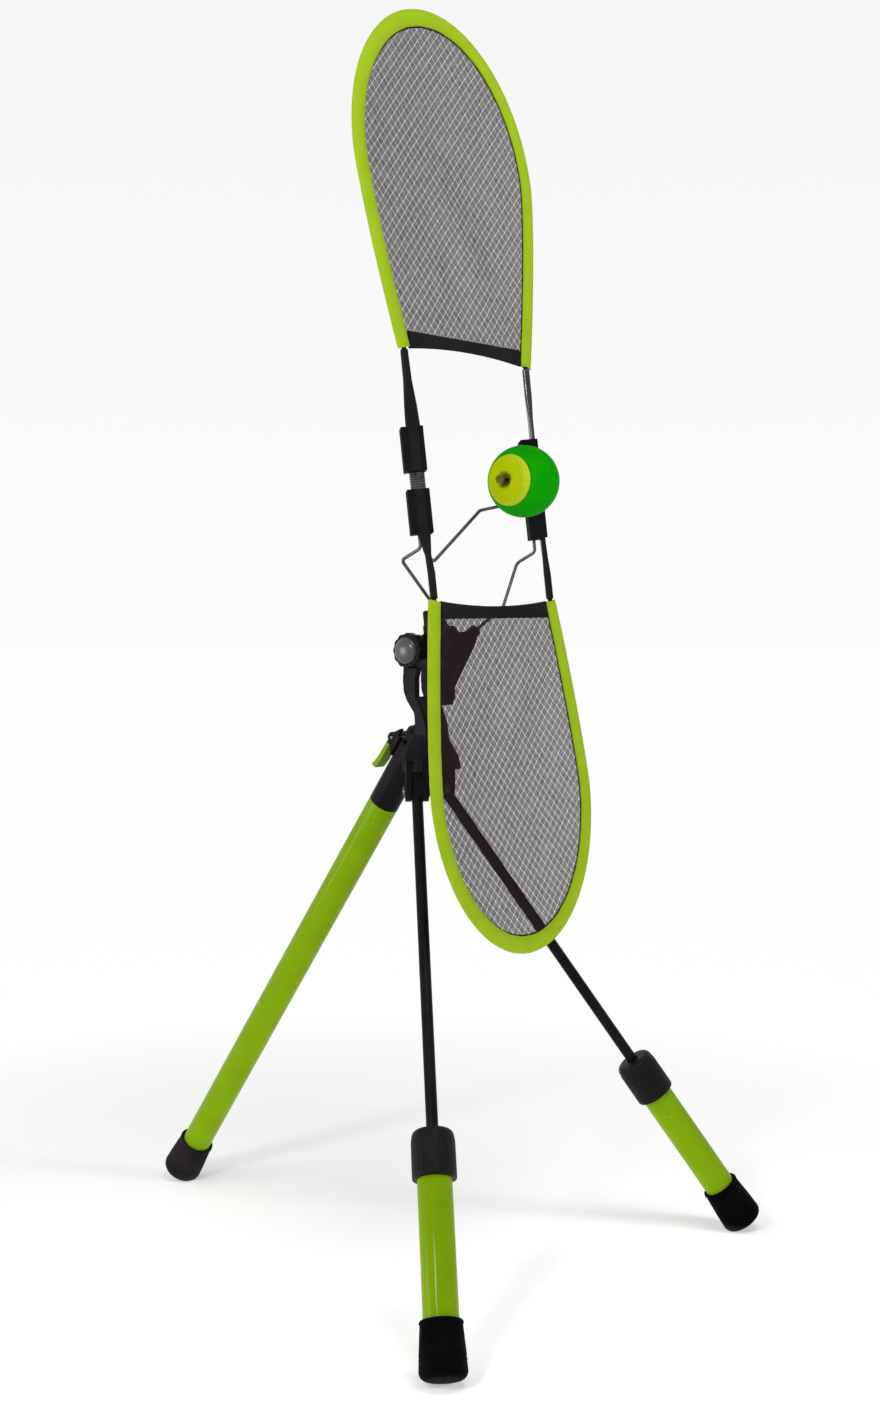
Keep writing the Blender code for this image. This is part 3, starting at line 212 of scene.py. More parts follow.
# Paints and plastics: dark and light colour, roughness, grain, its depth, specular level and for
# some the scale of their patches
PAINTS = {
    "lever_paint": ((0.148, 0.27, 0.0), (0.168, 0.298, 0.0), (0.3, 0.42), 900.0, 0.00006, 0.06),
    "plastic": ((0.004, 0.0036, 0.0048), (0.008, 0.0072, 0.009), (0.3, 0.44), 1600.0, 0.00008, 0.05),
    "gloss_plastic": ((0.003, 0.0027, 0.0032), (0.006, 0.0055, 0.0062), (0.16, 0.24),
                      1600.0, 0.00002, 0.5),
    "satin_plastic": ((0.004, 0.0036, 0.0042), (0.0085, 0.0078, 0.0085), (0.38, 0.52),
                      1100.0, 0.00014, 0.08),
    "powder_coat": ((0.004, 0.0036, 0.0042), (0.008, 0.0074, 0.008), (0.26, 0.36), 1900.0, 0.00007, 0.05),
    "clip_plastic": ((0.0042, 0.0038, 0.0048), (0.0084, 0.0076, 0.009), (0.56, 0.7),
                     1600.0, 0.00008, 0.02),
    # Olive colour for the small parts in the ball's hole: painted shade of the yellow foam round them.
    "dusted_plastic": ((0.06, 0.056, 0.004), (0.15, 0.138, 0.008), (0.55, 0.7),
                       1500.0, 0.0001, 0.05, 300.0),
    "grey_plastic": ((0.036, 0.031, 0.031), (0.058, 0.051, 0.051), (0.2, 0.3), 1300.0, 0.00006, 0.5),
    "cast_grey": ((0.018, 0.017, 0.018), (0.085, 0.08, 0.08), (0.38, 0.55), 1500.0, 0.00025, 0.2, 260.0),
}


# Nodes and looks

def add_node(tree, kind, inputs=None, **settings):
    """A shader node. A value in inputs is a number, a colour or another node's socket."""
    made = tree.nodes.new(kind)
    for key, value in settings.items():
        setattr(made, key, value)
    for socket, value in (inputs or {}).items():
        if isinstance(value, bpy.types.NodeSocket):
            tree.links.new(value, made.inputs[socket])
        else:
            made.inputs[socket].default_value = value
    return made


def principled(name, **sockets):
    """A material with its Principled shader. Socket names are written with underscores."""
    look = bpy.data.materials.new(name)
    look.use_nodes = True
    tree = look.node_tree
    surface = tree.nodes["Principled BSDF"]
    for key, value in sockets.items():
        surface.inputs[key.replace("_", " ")].default_value = value
    return look, tree, surface


def place_of(tree):
    return add_node(tree, "ShaderNodeTexCoord").outputs["Object"]


def wrap_of(tree):
    return add_node(tree, "ShaderNodeUVMap", uv_map="wrap").outputs["UV"]


def noise_of(tree, where, scale, detail=3.0, rough=0.55, stretch=None):
    if stretch:
        where = add_node(tree, "ShaderNodeMapping",
                         {"Vector": where, "Scale": stretch}).outputs["Vector"]
    made = add_node(tree, "ShaderNodeTexNoise",
                    {"Vector": where, "Scale": scale, "Detail": detail, "Roughness": rough})
    return made.outputs["Fac"]


def ramp_of(tree, value, low, high, start=0.0, end=1.0):
    """Moves a value from low..high to start..end and holds it at the ends."""
    limits = {"Value": value, "From Min": low, "From Max": high, "To Min": start, "To Max": end}
    return add_node(tree, "ShaderNodeMapRange", limits).outputs["Result"]


def math_of(tree, operation, first, second=0.0):
    return add_node(tree, "ShaderNodeMath", {0: first, 1: second}, operation=operation).outputs[0]


def mix_of(tree, share, first, second):
    """Mixes two colours. Each is another node's socket or three numbers."""
    ends = [end if isinstance(end, bpy.types.NodeSocket) else (*end, 1.0) for end in (first, second)]
    sockets = {0: share, 6: ends[0], 7: ends[1]}
    return add_node(tree, "ShaderNodeMix", sockets, data_type="RGBA").outputs[2]


def times(tree, first, second):
    return math_of(tree, "MULTIPLY", first, second)


def feed(tree, surface, colour, height, strength, distance, rough=None):
    """Gives a shader its colour, its relief and a roughness where that varies."""
    relief = add_node(tree, "ShaderNodeBump",
                      {"Height": height, "Strength": strength, "Distance": distance})
    tree.links.new(relief.outputs["Normal"], surface.inputs["Normal"])
    tree.links.new(colour, surface.inputs["Base Color"])
    if rough is not None:
        tree.links.new(rough, surface.inputs["Roughness"])


def tint(tree, surface, share, colour):
    """Mixes a colour over the one that a look has."""
    base = surface.inputs["Base Color"]
    tree.links.new(mix_of(tree, share, base.links[0].from_socket, colour), base)


def paint(name, dark, light, rough, grain, depth, specular=0.5, patch=30.0, **sockets):
    """Paint, moulded plastic or rubber: two close colours, uneven gloss and a fine grain."""
    look, tree, surface = principled(name, Specular_IOR_Level=specular, **sockets)
    where = place_of(tree)
    cloud = ramp_of(tree, noise_of(tree, where, patch, 5.0), 0.35, 0.65)
    gloss = ramp_of(tree, noise_of(tree, where, patch * 5, 4.0), 0.3, 0.7, *rough)
    feed(tree, surface, mix_of(tree, cloud, dark, light), noise_of(tree, where, grain, 2.0), 0.5,
         depth, gloss)
    return look, tree, surface


def tube_paint():
    """Lime powder coat with a soft sheen, faint drag marks along the tube and rubbed specks."""
    look, tree, surface = paint("tube_paint", (0.152, 0.278, 0.0), (0.172, 0.306, 0.0),
                                (0.09, 0.14), 900.0, 0.00002, IOR=1.15)
    drag = noise_of(tree, wrap_of(tree), 60.0, 4.0, stretch=(18.0, 1.0, 1.0))
    scratch = ramp_of(tree, drag, 0.7, 0.78)
    speck = ramp_of(tree, noise_of(tree, place_of(tree), 260.0, 1.0), 0.74, 0.78)
    marks = math_of(tree, "MAXIMUM", times(tree, scratch, 0.35), speck)
    tint(tree, surface, marks, (0.27, 0.42, 0.02))
    return look


def foot_rubber(name, dark, light):
    """Rubber, dusty round the rim that stands on the floor."""
    look, tree, surface = paint(name, dark, light, (0.5, 0.68), 1500.0, 0.00015, 0.015)
    height = add_node(tree, "ShaderNodeSeparateXYZ", {"Vector": place_of(tree)}).outputs["Z"]
    low = ramp_of(tree, height, 0.001, 0.01, 1.0, 0.0)
    dust = times(tree, low, noise_of(tree, place_of(tree), 400.0, 5.0))
    tint(tree, surface, dust, (0.03, 0.028, 0.026))
    return look


def woven(name, dark, light, worn, specular=0.06, ribs=(0.0011, 0.0008), edge=None):
    """Woven tape or thread. A tape's map runs along it and across, in metres."""
    look, tree, surface = principled(name, Roughness=0.82, Sheen_Weight=0.02,
                                     Sheen_Roughness=0.45, Specular_IOR_Level=specular)
    parts = add_node(tree, "ShaderNodeSeparateXYZ", {"Vector": wrap_of(tree)})
    where = place_of(tree)
    wobble = times(tree, noise_of(tree, where, 500.0, 2.0), 1.6)
    waves = []
    for way, rib in zip("XY", ribs):
        run = times(tree, parts.outputs[way], 2 * math.pi / rib)
        waves.append(math_of(tree, "SINE", math_of(tree, "ADD", run, wobble)))
    cloth = ramp_of(tree, times(tree, *waves), -1.0, 1.0)
    cloud = ramp_of(tree, noise_of(tree, where, 45.0, 4.0), 0.3, 0.7)
    # Painted shade: the weave's valleys are darker in colour than its crests.
    tone = math_of(tree, "ADD", times(tree, cloth, 0.55), times(tree, cloud, 0.45))
    colour = mix_of(tree, tone, dark, light)
    fuzz = ramp_of(tree, noise_of(tree, where, 900.0, 3.0), 0.62, 0.75)
    if edge:
        near = ramp_of(tree, math_of(tree, "ABSOLUTE", parts.outputs["Y"]), edge * 0.75, edge)
        fuzz = times(tree, fuzz, near)
    colour = mix_of(tree, times(tree, fuzz, 0.6), colour, worn)
    feed(tree, surface, colour, cloth, 0.6, 0.00015)
    return look


def net_fibre():
    """Knitted black polyester, dull and finely streaked."""
    look, tree, surface = principled("net_fibre", Roughness=0.7, Specular_IOR_Level=0.03)
    yarn = noise_of(tree, place_of(tree), 1400.0, 2.0, stretch=(1.0, 1.0, 0.35))
    colour = mix_of(tree, ramp_of(tree, yarn, 0.35, 0.65), (0.009, 0.005, 0.006),
                    (0.026, 0.016, 0.018))
    feed(tree, surface, colour, yarn, 0.7, 0.0002)
    return look


def drawn_steel():
    """Drawn wire, greyed by handling, with fine marks and duller patches."""
    look, tree, surface = principled("drawn_steel", Metallic=1.0)
    where = place_of(tree)
    dull = ramp_of(tree, noise_of(tree, where, 120.0, 5.0), 0.35, 0.7)
    colour = mix_of(tree, dull, (0.125, 0.12, 0.112), (0.055, 0.052, 0.048))
    feed(tree, surface, colour, noise_of(tree, where, 2600.0, 2.0), 0.4, 0.00004,
         ramp_of(tree, dull, 0.0, 1.0, 0.3, 0.46))
    return look


def foam(name, dark, light, side=None, stain=None):
    """Dense sponge with fine open pores, their shade painted darker. A cap's side is painted paler as
    painted light, and its middle darker as painted shade of its recess.
    """
    look, tree, surface = principled(name, Subsurface_Weight=0.06, Subsurface_Scale=0.003,
                                     Specular_IOR_Level=0.02)
    where = place_of(tree)
    cloud = ramp_of(tree, noise_of(tree, where, 90.0, 5.0), 0.3, 0.7)
    colour = mix_of(tree, cloud, dark, light)
    pores = add_node(tree, "ShaderNodeTexVoronoi", {"Vector": where, "Scale": 1100.0})
    pore = ramp_of(tree, pores.outputs["Distance"], 0.05, 0.45)
    # Painted shade: the colour is darkened inside the pores.
    deep = times(tree, math_of(tree, "SUBTRACT", 1.0, pore), 0.35)
    colour = mix_of(tree, deep, colour, tuple(0.55 * part for part in dark))
    # Painted light makes a cap's side paler; painted shade darkens its middle round the hole.
    for part, shade in (("side", side), ("stain", stain)):
        if shade:
            mark = add_node(tree, "ShaderNodeAttribute", attribute_name=part).outputs["Fac"]
            colour = mix_of(tree, times(tree, mark, 0.75), colour, shade)
    feed(tree, surface, colour, pore, 0.35, 0.00025, ramp_of(tree, cloud, 0.0, 1.0, 0.6, 0.78))
    return look


LOOKS = {name: paint(name, *recipe)[0] for name, recipe in PAINTS.items()}
LOOKS |= {
    "tube_paint": tube_paint(),
    "foot_rubber": foot_rubber("foot_rubber", (0.0008, 0.0007, 0.0007), (0.003, 0.0026, 0.0028)),
    # The rear foot's rubber is a lighter copy of the same rubber: painted light for the light that falls
    # on it.
    "grey_rubber": foot_rubber("grey_rubber", (0.012, 0.01, 0.0118), (0.021, 0.0175, 0.0205)),
    "lime_tape": woven("lime_tape", (0.232, 0.358, 0.008), (0.302, 0.44, 0.014),
                       (0.47, 0.6, 0.1), edge=0.0085),
    "lime_thread": woven("lime_thread", (0.2, 0.35, 0.001), (0.29, 0.48, 0.004),
                         (0.46, 0.6, 0.06), ribs=(0.0006, 0.0006)),
    "black_tape": woven("black_tape", (0.006, 0.006, 0.007), (0.015, 0.015, 0.016),
                        (0.035, 0.035, 0.038), 0.03),
    "net_fibre": net_fibre(),
    "drawn_steel": drawn_steel(),
    "green_foam": foam("green_foam", (0.003, 0.225, 0.001), (0.005, 0.29, 0.001)),
    # The cap's side colour is painted light, and its middle colour is painted shade of the recess round
    # the hole.
    "yellow_foam": foam("yellow_foam", (0.315, 0.395, 0.001), (0.375, 0.455, 0.002),
                        side=(0.39, 0.49, 0.02), stain=(0.17, 0.165, 0.01)),
}


# Mesh helpers

def new_object(name, data):
    made = bpy.data.objects.new(name, data)
    bpy.context.scene.collection.objects.link(made)
    return made


def waver(x, y, z):
    return noise.noise(Vector((x, y, z)))


def add_piece(name, points, faces, node, look, slot, sharp=60.0, wrap=None):
    """Makes a mesh piece that stands for a CAD node and rides on its body."""
    mesh = bpy.data.meshes.new(name)
    mesh.from_pydata([tuple(point) for point in points], [], faces)
    if wrap is not None:
        corners = np.zeros(len(mesh.loops), dtype=np.int32)
        mesh.loops.foreach_get("vertex_index", corners)
        layer = mesh.uv_layers.new(name="wrap")
        layer.data.foreach_set("uv", np.asarray(wrap, dtype=np.float32)[corners].ravel())
    return dress(name, mesh, node, look, sharp)


def dress(name, mesh, node, look, sharp):
    shape = bmesh.new()
    shape.from_mesh(mesh)
    bmesh.ops.recalc_face_normals(shape, faces=shape.faces)
    shape.to_mesh(mesh)
    shape.free()
    mesh.polygons.foreach_set("use_smooth", [True] * len(mesh.polygons))
    mesh.set_sharp_from_angle(angle=math.radians(sharp))
    obj = new_object(name, mesh)
    mesh.materials.append(LOOKS[look])
    bpy.context.view_layer.update()
    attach(obj, frame["nodes"][node]["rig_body"])
    if not frame["nodes"][node].hide_render:
        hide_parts(node)
    return obj


def skin(rings, closed=False, capped=True):
    """Joins rings of equal length. Returns points and faces."""
    count = len(rings[0])
    points = [point for ring in rings for point in ring]
    faces = []
    rows = len(rings) if closed else len(rings) - 1
    for row in range(rows):
        here = row * count
        there = (row + 1) % len(rings) * count
        for step in range(count):
            nxt = (step + 1) % count
            faces.append((here + step, here + nxt, there + nxt, there + step))
    if capped and not closed:
        faces.append(tuple(range(count)))
        faces.append(tuple(range(len(points) - count, len(points))))
    return points, faces


def add_skin(points, faces, rings):
    """Adds the skin over rings to a piece's points and faces."""
    start = len(points)
    more, sides = skin(rings)
    points += more
    faces += [tuple(corner + start for corner in side) for side in sides]


def soften(corners, radius, steps=4, closed=True):
    """Rounds the corners of a polygon in its plane. A corner may carry its own radius."""
    found = []
    count = len(corners)
    for index, corner in enumerate(corners):
        here = Vector(corner[:2])
        size = corner[2] if len(corner) > 2 else radius
        if not closed and index in (0, count - 1) or size <= 0.0:
            found.append(tuple(here))
            continue
        before = Vector(corners[index - 1][:2]) - here
        after = Vector(corners[(index + 1) % count][:2]) - here
        reach = min(size, before.length * 0.45, after.length * 0.45)
        start = here + before.normalized() * reach
        end = here + after.normalized() * reach
        for step in range(steps + 1):
            share = step / steps
            bend = start * (1 - share) ** 2 + here * 2 * share * (1 - share) + end * share ** 2
            found.append(tuple(bend))
    return found


def spin(name, profile, place, node, look, slot, sides=72, change=None, sharp=40.0):
    """Turns a profile of (radius, height) round Z of place. It closes on itself off the axis."""
    solid = profile[0][0] == 0.0 and profile[-1][0] == 0.0
    body = profile[1:-1] if solid else profile
    wrap, rings = [], []
    run = 0.0
    for index, (radius, height) in enumerate(body):
        if index:
            run += math.dist(body[index], body[index - 1])
        ring = []
        for step in range(sides):
            angle = 2 * math.pi * step / sides
            wide = change(radius, height, angle) if change else radius
            ring.append(place @ Vector((wide * math.cos(angle), wide * math.sin(angle), height)))
            wrap.append((TUBE_R * abs(angle - math.pi), run))
        rings.append(ring)
    points, faces = skin(rings, closed=not solid, capped=False)
    if solid:
        for ring_start, height in ((0, profile[0][1]), (len(points) - sides, profile[-1][1])):
            points.append(place @ Vector((0.0, 0.0, height)))
            wrap.append((0.0, 0.0))
            for step in range(sides):
                faces.append((len(points) - 1, ring_start + step, ring_start + (step + 1) % sides))
    return add_piece(name, points, faces, node, look, slot, sharp, wrap)


def bent_path(corners, radii, steps=10):
    """Straight runs joined by round bends. One radius for each inner corner."""
    path = [Vector(corners[0])]
    for index, radius in enumerate(radii, 1):
        here = Vector(corners[index])
        before = (Vector(corners[index - 1]) - here).normalized()
        after = (Vector(corners[index + 1]) - here).normalized()
        half = before.angle(after) / 2
        reach = radius / math.tan(half)
        centre = here + (before + after).normalized() * radius / math.sin(half)
        first = here + before * reach - centre
        last = here + after * reach - centre
        axis = first.cross(last).normalized()
        for step in range(steps + 1):
            path.append(centre + Matrix.Rotation(first.angle(last) * step / steps, 3, axis) @ first)
    path.append(Vector(corners[-1]))
    return path


def wire_rings(path, radius, sides):
    """Rings of a round section carried along a path without twist, with softened ends."""
    tangents = [(path[min(index + 1, len(path) - 1)] - path[max(index - 1, 0)]).normalized()
                for index in range(len(path))]
    across = tangents[0].orthogonal().normalized()
    stations = [(path[0], tangents[0], radius * 0.75),
                (path[0] + tangents[0] * radius * 0.25, tangents[0], radius),
                *zip(path[1:-1], tangents[1:-1], [radius] * len(path)),
                (path[-1] - tangents[-1] * radius * 0.25, tangents[-1], radius),
                (path[-1], tangents[-1], radius * 0.75)]
    rings = []
    for point, tangent, size in stations:
        across = (across - tangent * across.dot(tangent)).normalized()
        up = tangent.cross(across)
        ring = []
        for step in range(sides):
            angle = 2 * math.pi * step / sides
            ring.append(point + size * (math.cos(angle) * across + math.sin(angle) * up))
        rings.append(ring)
    return rings


def add_wire(name, path, radius, node, look, slot, sides=20):
    add_piece(name, *skin(wire_rings(path, radius, sides)), node, look, slot, 40.0)


def mould(node, look, cell, passes=3):
    """A moulded copy of a solid: its edges are rounded as a mould leaves them."""
    source = frame["nodes"][node]
    copy = new_object(f"{node}_copy", source.data.copy())
    weld = copy.modifiers.new("weld", "WELD")
    weld.merge_threshold = 0.00001
    grid = copy.modifiers.new("grid", "REMESH")
    grid.mode = "VOXEL"
    grid.voxel_size = cell
    soft = copy.modifiers.new("soft", "SMOOTH")
    soft.factor = 0.5
    soft.iterations = passes
    graph = bpy.context.evaluated_depsgraph_get()
    mesh = bpy.data.meshes.new_from_object(copy.evaluated_get(graph))
    mesh.materials.clear()
    bpy.data.objects.remove(copy)
    return dress(f"{node}_form", mesh, node, look, 180.0)


# Frames

def turn(angle, axis):
    return Matrix.Rotation(angle, 4, axis)


ALONG_X = turn(math.pi / 2, "Y")
BOLT_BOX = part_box("tilt_bolt")
PIVOT = Vector((0.0, (BOLT_BOX[0][1] + BOLT_BOX[1][1]) / 2, (BOLT_BOX[0][2] + BOLT_BOX[1][2]) / 2))
APEX = PIVOT - Vector((0.0, PIVOT_BACK, PIVOT_RISE))
HEAD = Matrix.Translation(PIVOT) @ turn(-LEAN, "X")


def leg_frame(heading):
    """Origin where the three legs meet, X on the hinge line and -Z down the leg."""
    outward = Vector((math.sin(heading), -math.cos(heading), 0.0))
    up_leg = Vector((0, 0, 1)) * math.cos(LEG_SPREAD) - outward * math.sin(LEG_SPREAD)
    hinge = Vector((math.cos(heading), math.sin(heading), 0.0))
    axes = Matrix((hinge, up_leg.cross(hinge), up_leg)).transposed().to_4x4()
    return Matrix.Translation(APEX) @ axes


def upright_point(side, along, deep, height):
    """A point at an upright of the head: along the tang's width, and deep behind its face."""
    turned = math.sqrt(0.5)
    x = UPRIGHT_X - (along + deep) * turned
    return HEAD @ Vector((side * x, SCREEN_Y + (deep - along) * turned, height))


# Tripod

def add_pipe(node, place, outer, wall, low, high, rounding, look, slot, sides=72):
    inner = outer - wall
    profile = soften([(inner, low), (outer, low), (outer, high), (inner, high)], rounding)
    spin(f"{node}_skin", profile, place, node, look, slot, sides)


def add_tube(name, place, top):
    low = -(LEG_REACH - FOOT_FLOOR - SEAT_GAP)
    add_pipe(name, place, TUBE_R, TUBE_WALL, low, top, 0.0005, "tube_paint", "lime_tube")


def add_foot(name, place, look):
    """A rubber cup with a beaded rim and two shallow grooves, cut level where it stands."""
    top = -(LEG_REACH - FOOT_LENGTH)
    end = -LEG_REACH
    bore = TUBE_R + SLIP
    outer = [(bore, end + FOOT_FLOOR), (bore, top), (FOOT_TOP_R - 0.0006, top, 0.0008),
             (FOOT_TOP_R, top - 0.0012), (FOOT_TOP_R, top - 0.0024),
             (FOOT_TOP_R - 0.0006, top - 0.003)]
    slope = (FOOT_R - FOOT_TOP_R) / (FOOT_LENGTH - FOOT_EDGE)
    for groove in FOOT_GROOVES:
        wide = FOOT_TOP_R + slope * groove
        outer += [(wide, top - groove + 0.0007), (wide - 0.0006, top - groove),
                  (wide, top - groove - 0.0007)]
    outer += [(FOOT_R, end + FOOT_EDGE)]
    profile = soften(outer, 0.0005, 3, closed=False)
    for step in range(1, 9):
        angle = math.radians(90 * step / 8)
        profile.append((FOOT_R - FOOT_EDGE + FOOT_EDGE * math.cos(angle),
                        end + FOOT_EDGE * (1 - math.sin(angle))))
    profile = [(0.0, end + FOOT_FLOOR)] + profile + [(0.0, end)]
    foot = spin(f"{name}_cup", profile, place, name, look, "black_rubber")
    shape = bmesh.new()
    shape.from_mesh(foot.data)
    parts = shape.verts[:] + shape.edges[:] + shape.faces[:]
    bmesh.ops.bisect_plane(shape, geom=parts, plane_co=(0, 0, FOOT_CUT), plane_no=(0, 0, 1),
                           clear_inner=True)
    rim = [edge for edge in shape.edges if edge.is_boundary]
    bmesh.ops.contextual_create(shape, geom=rim)
    shape.to_mesh(foot.data)
    shape.free()


def add_lock(name, place):
    """Twist collar: a domed top and a skirt with shallow grip flutes."""
    top = -LOCK_TOP
    end = top - LOCK_LENGTH
    skirt = TUBE_R + SLIP
    rod = ROD_R + SEAT_GAP
    profile = [(rod, top - LOCK_WEB), (rod, top - 0.0004), (rod + 0.0004, top)]
    for angle in range(80, 0, -8):
        turned = math.radians(angle)
        profile.append((LOCK_R - 0.0008 - LOCK_DOME * 0.9 * (1 - math.cos(turned)),
                        top - LOCK_DOME * (1 - math.sin(turned))))
    profile += [(LOCK_R - 0.0004, top - LOCK_DOME * 1.4), (LOCK_R - 0.0001, top - LOCK_DOME * 1.7),
                (LOCK_R, end + 0.005), (LOCK_R, end + 0.004), (LOCK_R, end + 0.001),
                (LOCK_R - 0.0004, end + 0.0002), (LOCK_R - 0.001, end), (skirt, end),
                (skirt, top - LOCK_WEB)]

    def flute(radius, height, angle):
        down = top - height
        if radius < LOCK_R - 0.0006 or not LOCK_DOME * 1.5 <= down <= LOCK_LENGTH - 0.0045:
            return radius
        return radius - LOCK_FLUTE_DEPTH * max(math.cos(LOCK_FLUTES * angle), 0.0) ** 2

    spin(f"{name}_grip", profile, place, name, "satin_plastic", "black_plastic", 192, flute, 30.0)


def add_tripod():
    for side, name in ((-1, "left"), (1, "right")):
        place = leg_frame(side * FRONT_TOE)
        add_tube(f"{name}_tube", place, -(LOCK_TOP + LOCK_WEB + SEAT_GAP))
        add_foot(f"{name}_foot", place, "foot_rubber")
        add_lock(f"{name}_lock", place)
        add_pipe(f"{name}_rod", place, ROD_R, ROD_WALL, -(LOCK_TOP + ROD_OVERLAP), -ROD_TOP, 0.0003,
                 "powder_coat", "black_metal", 48)
        mould(f"{name}_knuckle", "plastic", SMALL)
        mould(f"{name}_leg_pin", "drawn_steel", FINE, 2)
        mould(f"{name}_rod_plug", "grey_plastic", COARSE)
    rear = leg_frame(math.pi)
    add_tube("rear_tube", rear, -COLLAR_END - SEAT_GAP)
    # The rear foot gets the lighter rubber copy: painted light.
    add_foot("rear_foot", rear, "grey_rubber")
    mould("crown", "plastic", COARSE, 4)
    mould("rear_clamp_collar", "plastic", MIDDLE)
    mould("rear_clamp_shoe", "grey_plastic", SMALL, 2)
    mould("rear_clamp_pin", "drawn_steel", FINE, 2)
    add_pipe("rear_post", rear, POST_R, POST_WALL, -POST_END, POST_TOP, 0.0004, "powder_coat",
             "black_metal", 64)
    mould("rear_post_guide", "grey_plastic", COARSE)
    lever = mould("rear_clamp_lever", "lever_paint", SMALL)
    lever.data.materials.append(LOOKS["plastic"])
    pin = rear @ turn(math.pi, "Z") @ Vector((0.0, LEVER_PIN_OUT, -LEVER_PIN_DROP))
    down = -(rear.to_3x3() @ Vector((0.0, 0.0, 1.0)))
    for face in lever.data.polygons:
        if (face.center - pin).dot(down) < LEVER_HUB:
            face.material_index = 1


# Tilting head

def add_knob():
    """Fluted hand knob with a domed cap, on the left end of the tilt bolt."""
    place = Matrix.Translation(PIVOT) @ ALONG_X
    near = -KNOB_NEAR
    far = near - KNOB_WIDTH
    bowl = KNOB_CAP_R + 0.0002
    floor = far + 0.0015
    profile = soften([(KNOB_BORE_R, near), (KNOB_R, near, 0.0012), (KNOB_R, far, 0.0018),
                      (bowl, far, 0.0006), (bowl, floor, 0.0), (KNOB_BORE_R, floor)], 0.0004, 5)

    def flute(radius, height, angle):
        wave = 0.5 - 0.5 * math.cos(KNOB_FLUTES * angle)
        return radius - KNOB_FLUTE_DEPTH * wave * (radius > KNOB_CAP_R + 0.0025)

    spin("tilt_knob_grip", profile, place, "tilt_knob", "plastic", "black_plastic", 144, flute, 35.0)
    seat = far + 0.0012
    dome = [(0.0, seat), (KNOB_CAP_R, seat), (KNOB_CAP_R, far - 0.0005)]
    for step in range(1, 14):
        angle = math.radians(90 * step / 14)
        dome.append((KNOB_CAP_R * math.cos(angle), far - 0.0005 - KNOB_CAP_DOME * math.sin(angle)))
    dome.append((0.0, far - 0.0005 - KNOB_CAP_DOME))
    spin("tilt_knob_dome", dome, place, "tilt_knob_cap", "grey_plastic", "grey_plastic")


def link_outline(grow):
    wide = LINK_WIDTH / 2 + grow
    deep = LINK_DEPTH / 2 + grow
    near, far = LINK_CENTRE - deep, LINK_CENTRE + deep
    return soften([(-wide, near), (wide, near), (wide, far), (-wide, far)], 0.0018)


def add_link(side, name):
    """The short bar between two clips, ribbed across."""
    low = CLIP_LOW + CLIP_HEIGHT + SEAT_GAP
    high = low + LINK_HEIGHT - 2 * SEAT_GAP
    rings = []
    steps = 60
    for step in range(steps + 1):
        height = low + (high - low) * step / steps
        groove = max(0.0, math.cos(2 * math.pi * LINK_RIBS * step / steps)) ** 2
        outline = link_outline(-LINK_RIB_DEPTH * groove)
        rings.append([upright_point(side, along, deep, height) for along, deep in outline])
    add_piece(f"{name}_link_ribs", *skin(rings), f"{name}_clip_link", "cast_grey", "grey_plastic")


def add_arm(side, name):
    corners = [upright_point(side, ARM_SOCKET, SOCKET_DEEP, CLIP_LOW + ARM_GRIP),
               upright_point(side, ARM_SOCKET, SOCKET_DEEP, CLIP_LOW - ARM_DROP)]
    tip, knee, bend = [HEAD @ Vector((side * x, y, z)) for x, y, z in ARM_CORNERS]
    corners += [bend, knee, tip + (tip - knee).normalized() * PRONG_DEPTH]
    path = bent_path(corners, ARM_BENDS)
    add_wire(f"{name}_arm_wire", path, WIRE_R, f"{name}_arm", "drawn_steel", "steel")


def add_head():
    mould("tilt_yoke", "plastic", COARSE, 4)
    mould("tilt_bolt", "drawn_steel", SMALL, 2)
    add_knob()
    for side, name in ((-1, "left"), (1, "right")):
        add_arm(side, name)
        add_link(side, name)
        for level in ("upper", "lower"):
            mould(f"{name}_{level}_clip", "clip_plastic", MIDDLE)
            shiny = (name, level) == ("right", "upper")
            look = "gloss_plastic" if shiny else "satin_plastic"
            mould(f"{name}_{level}_tang", look, MIDDLE)


# Screens

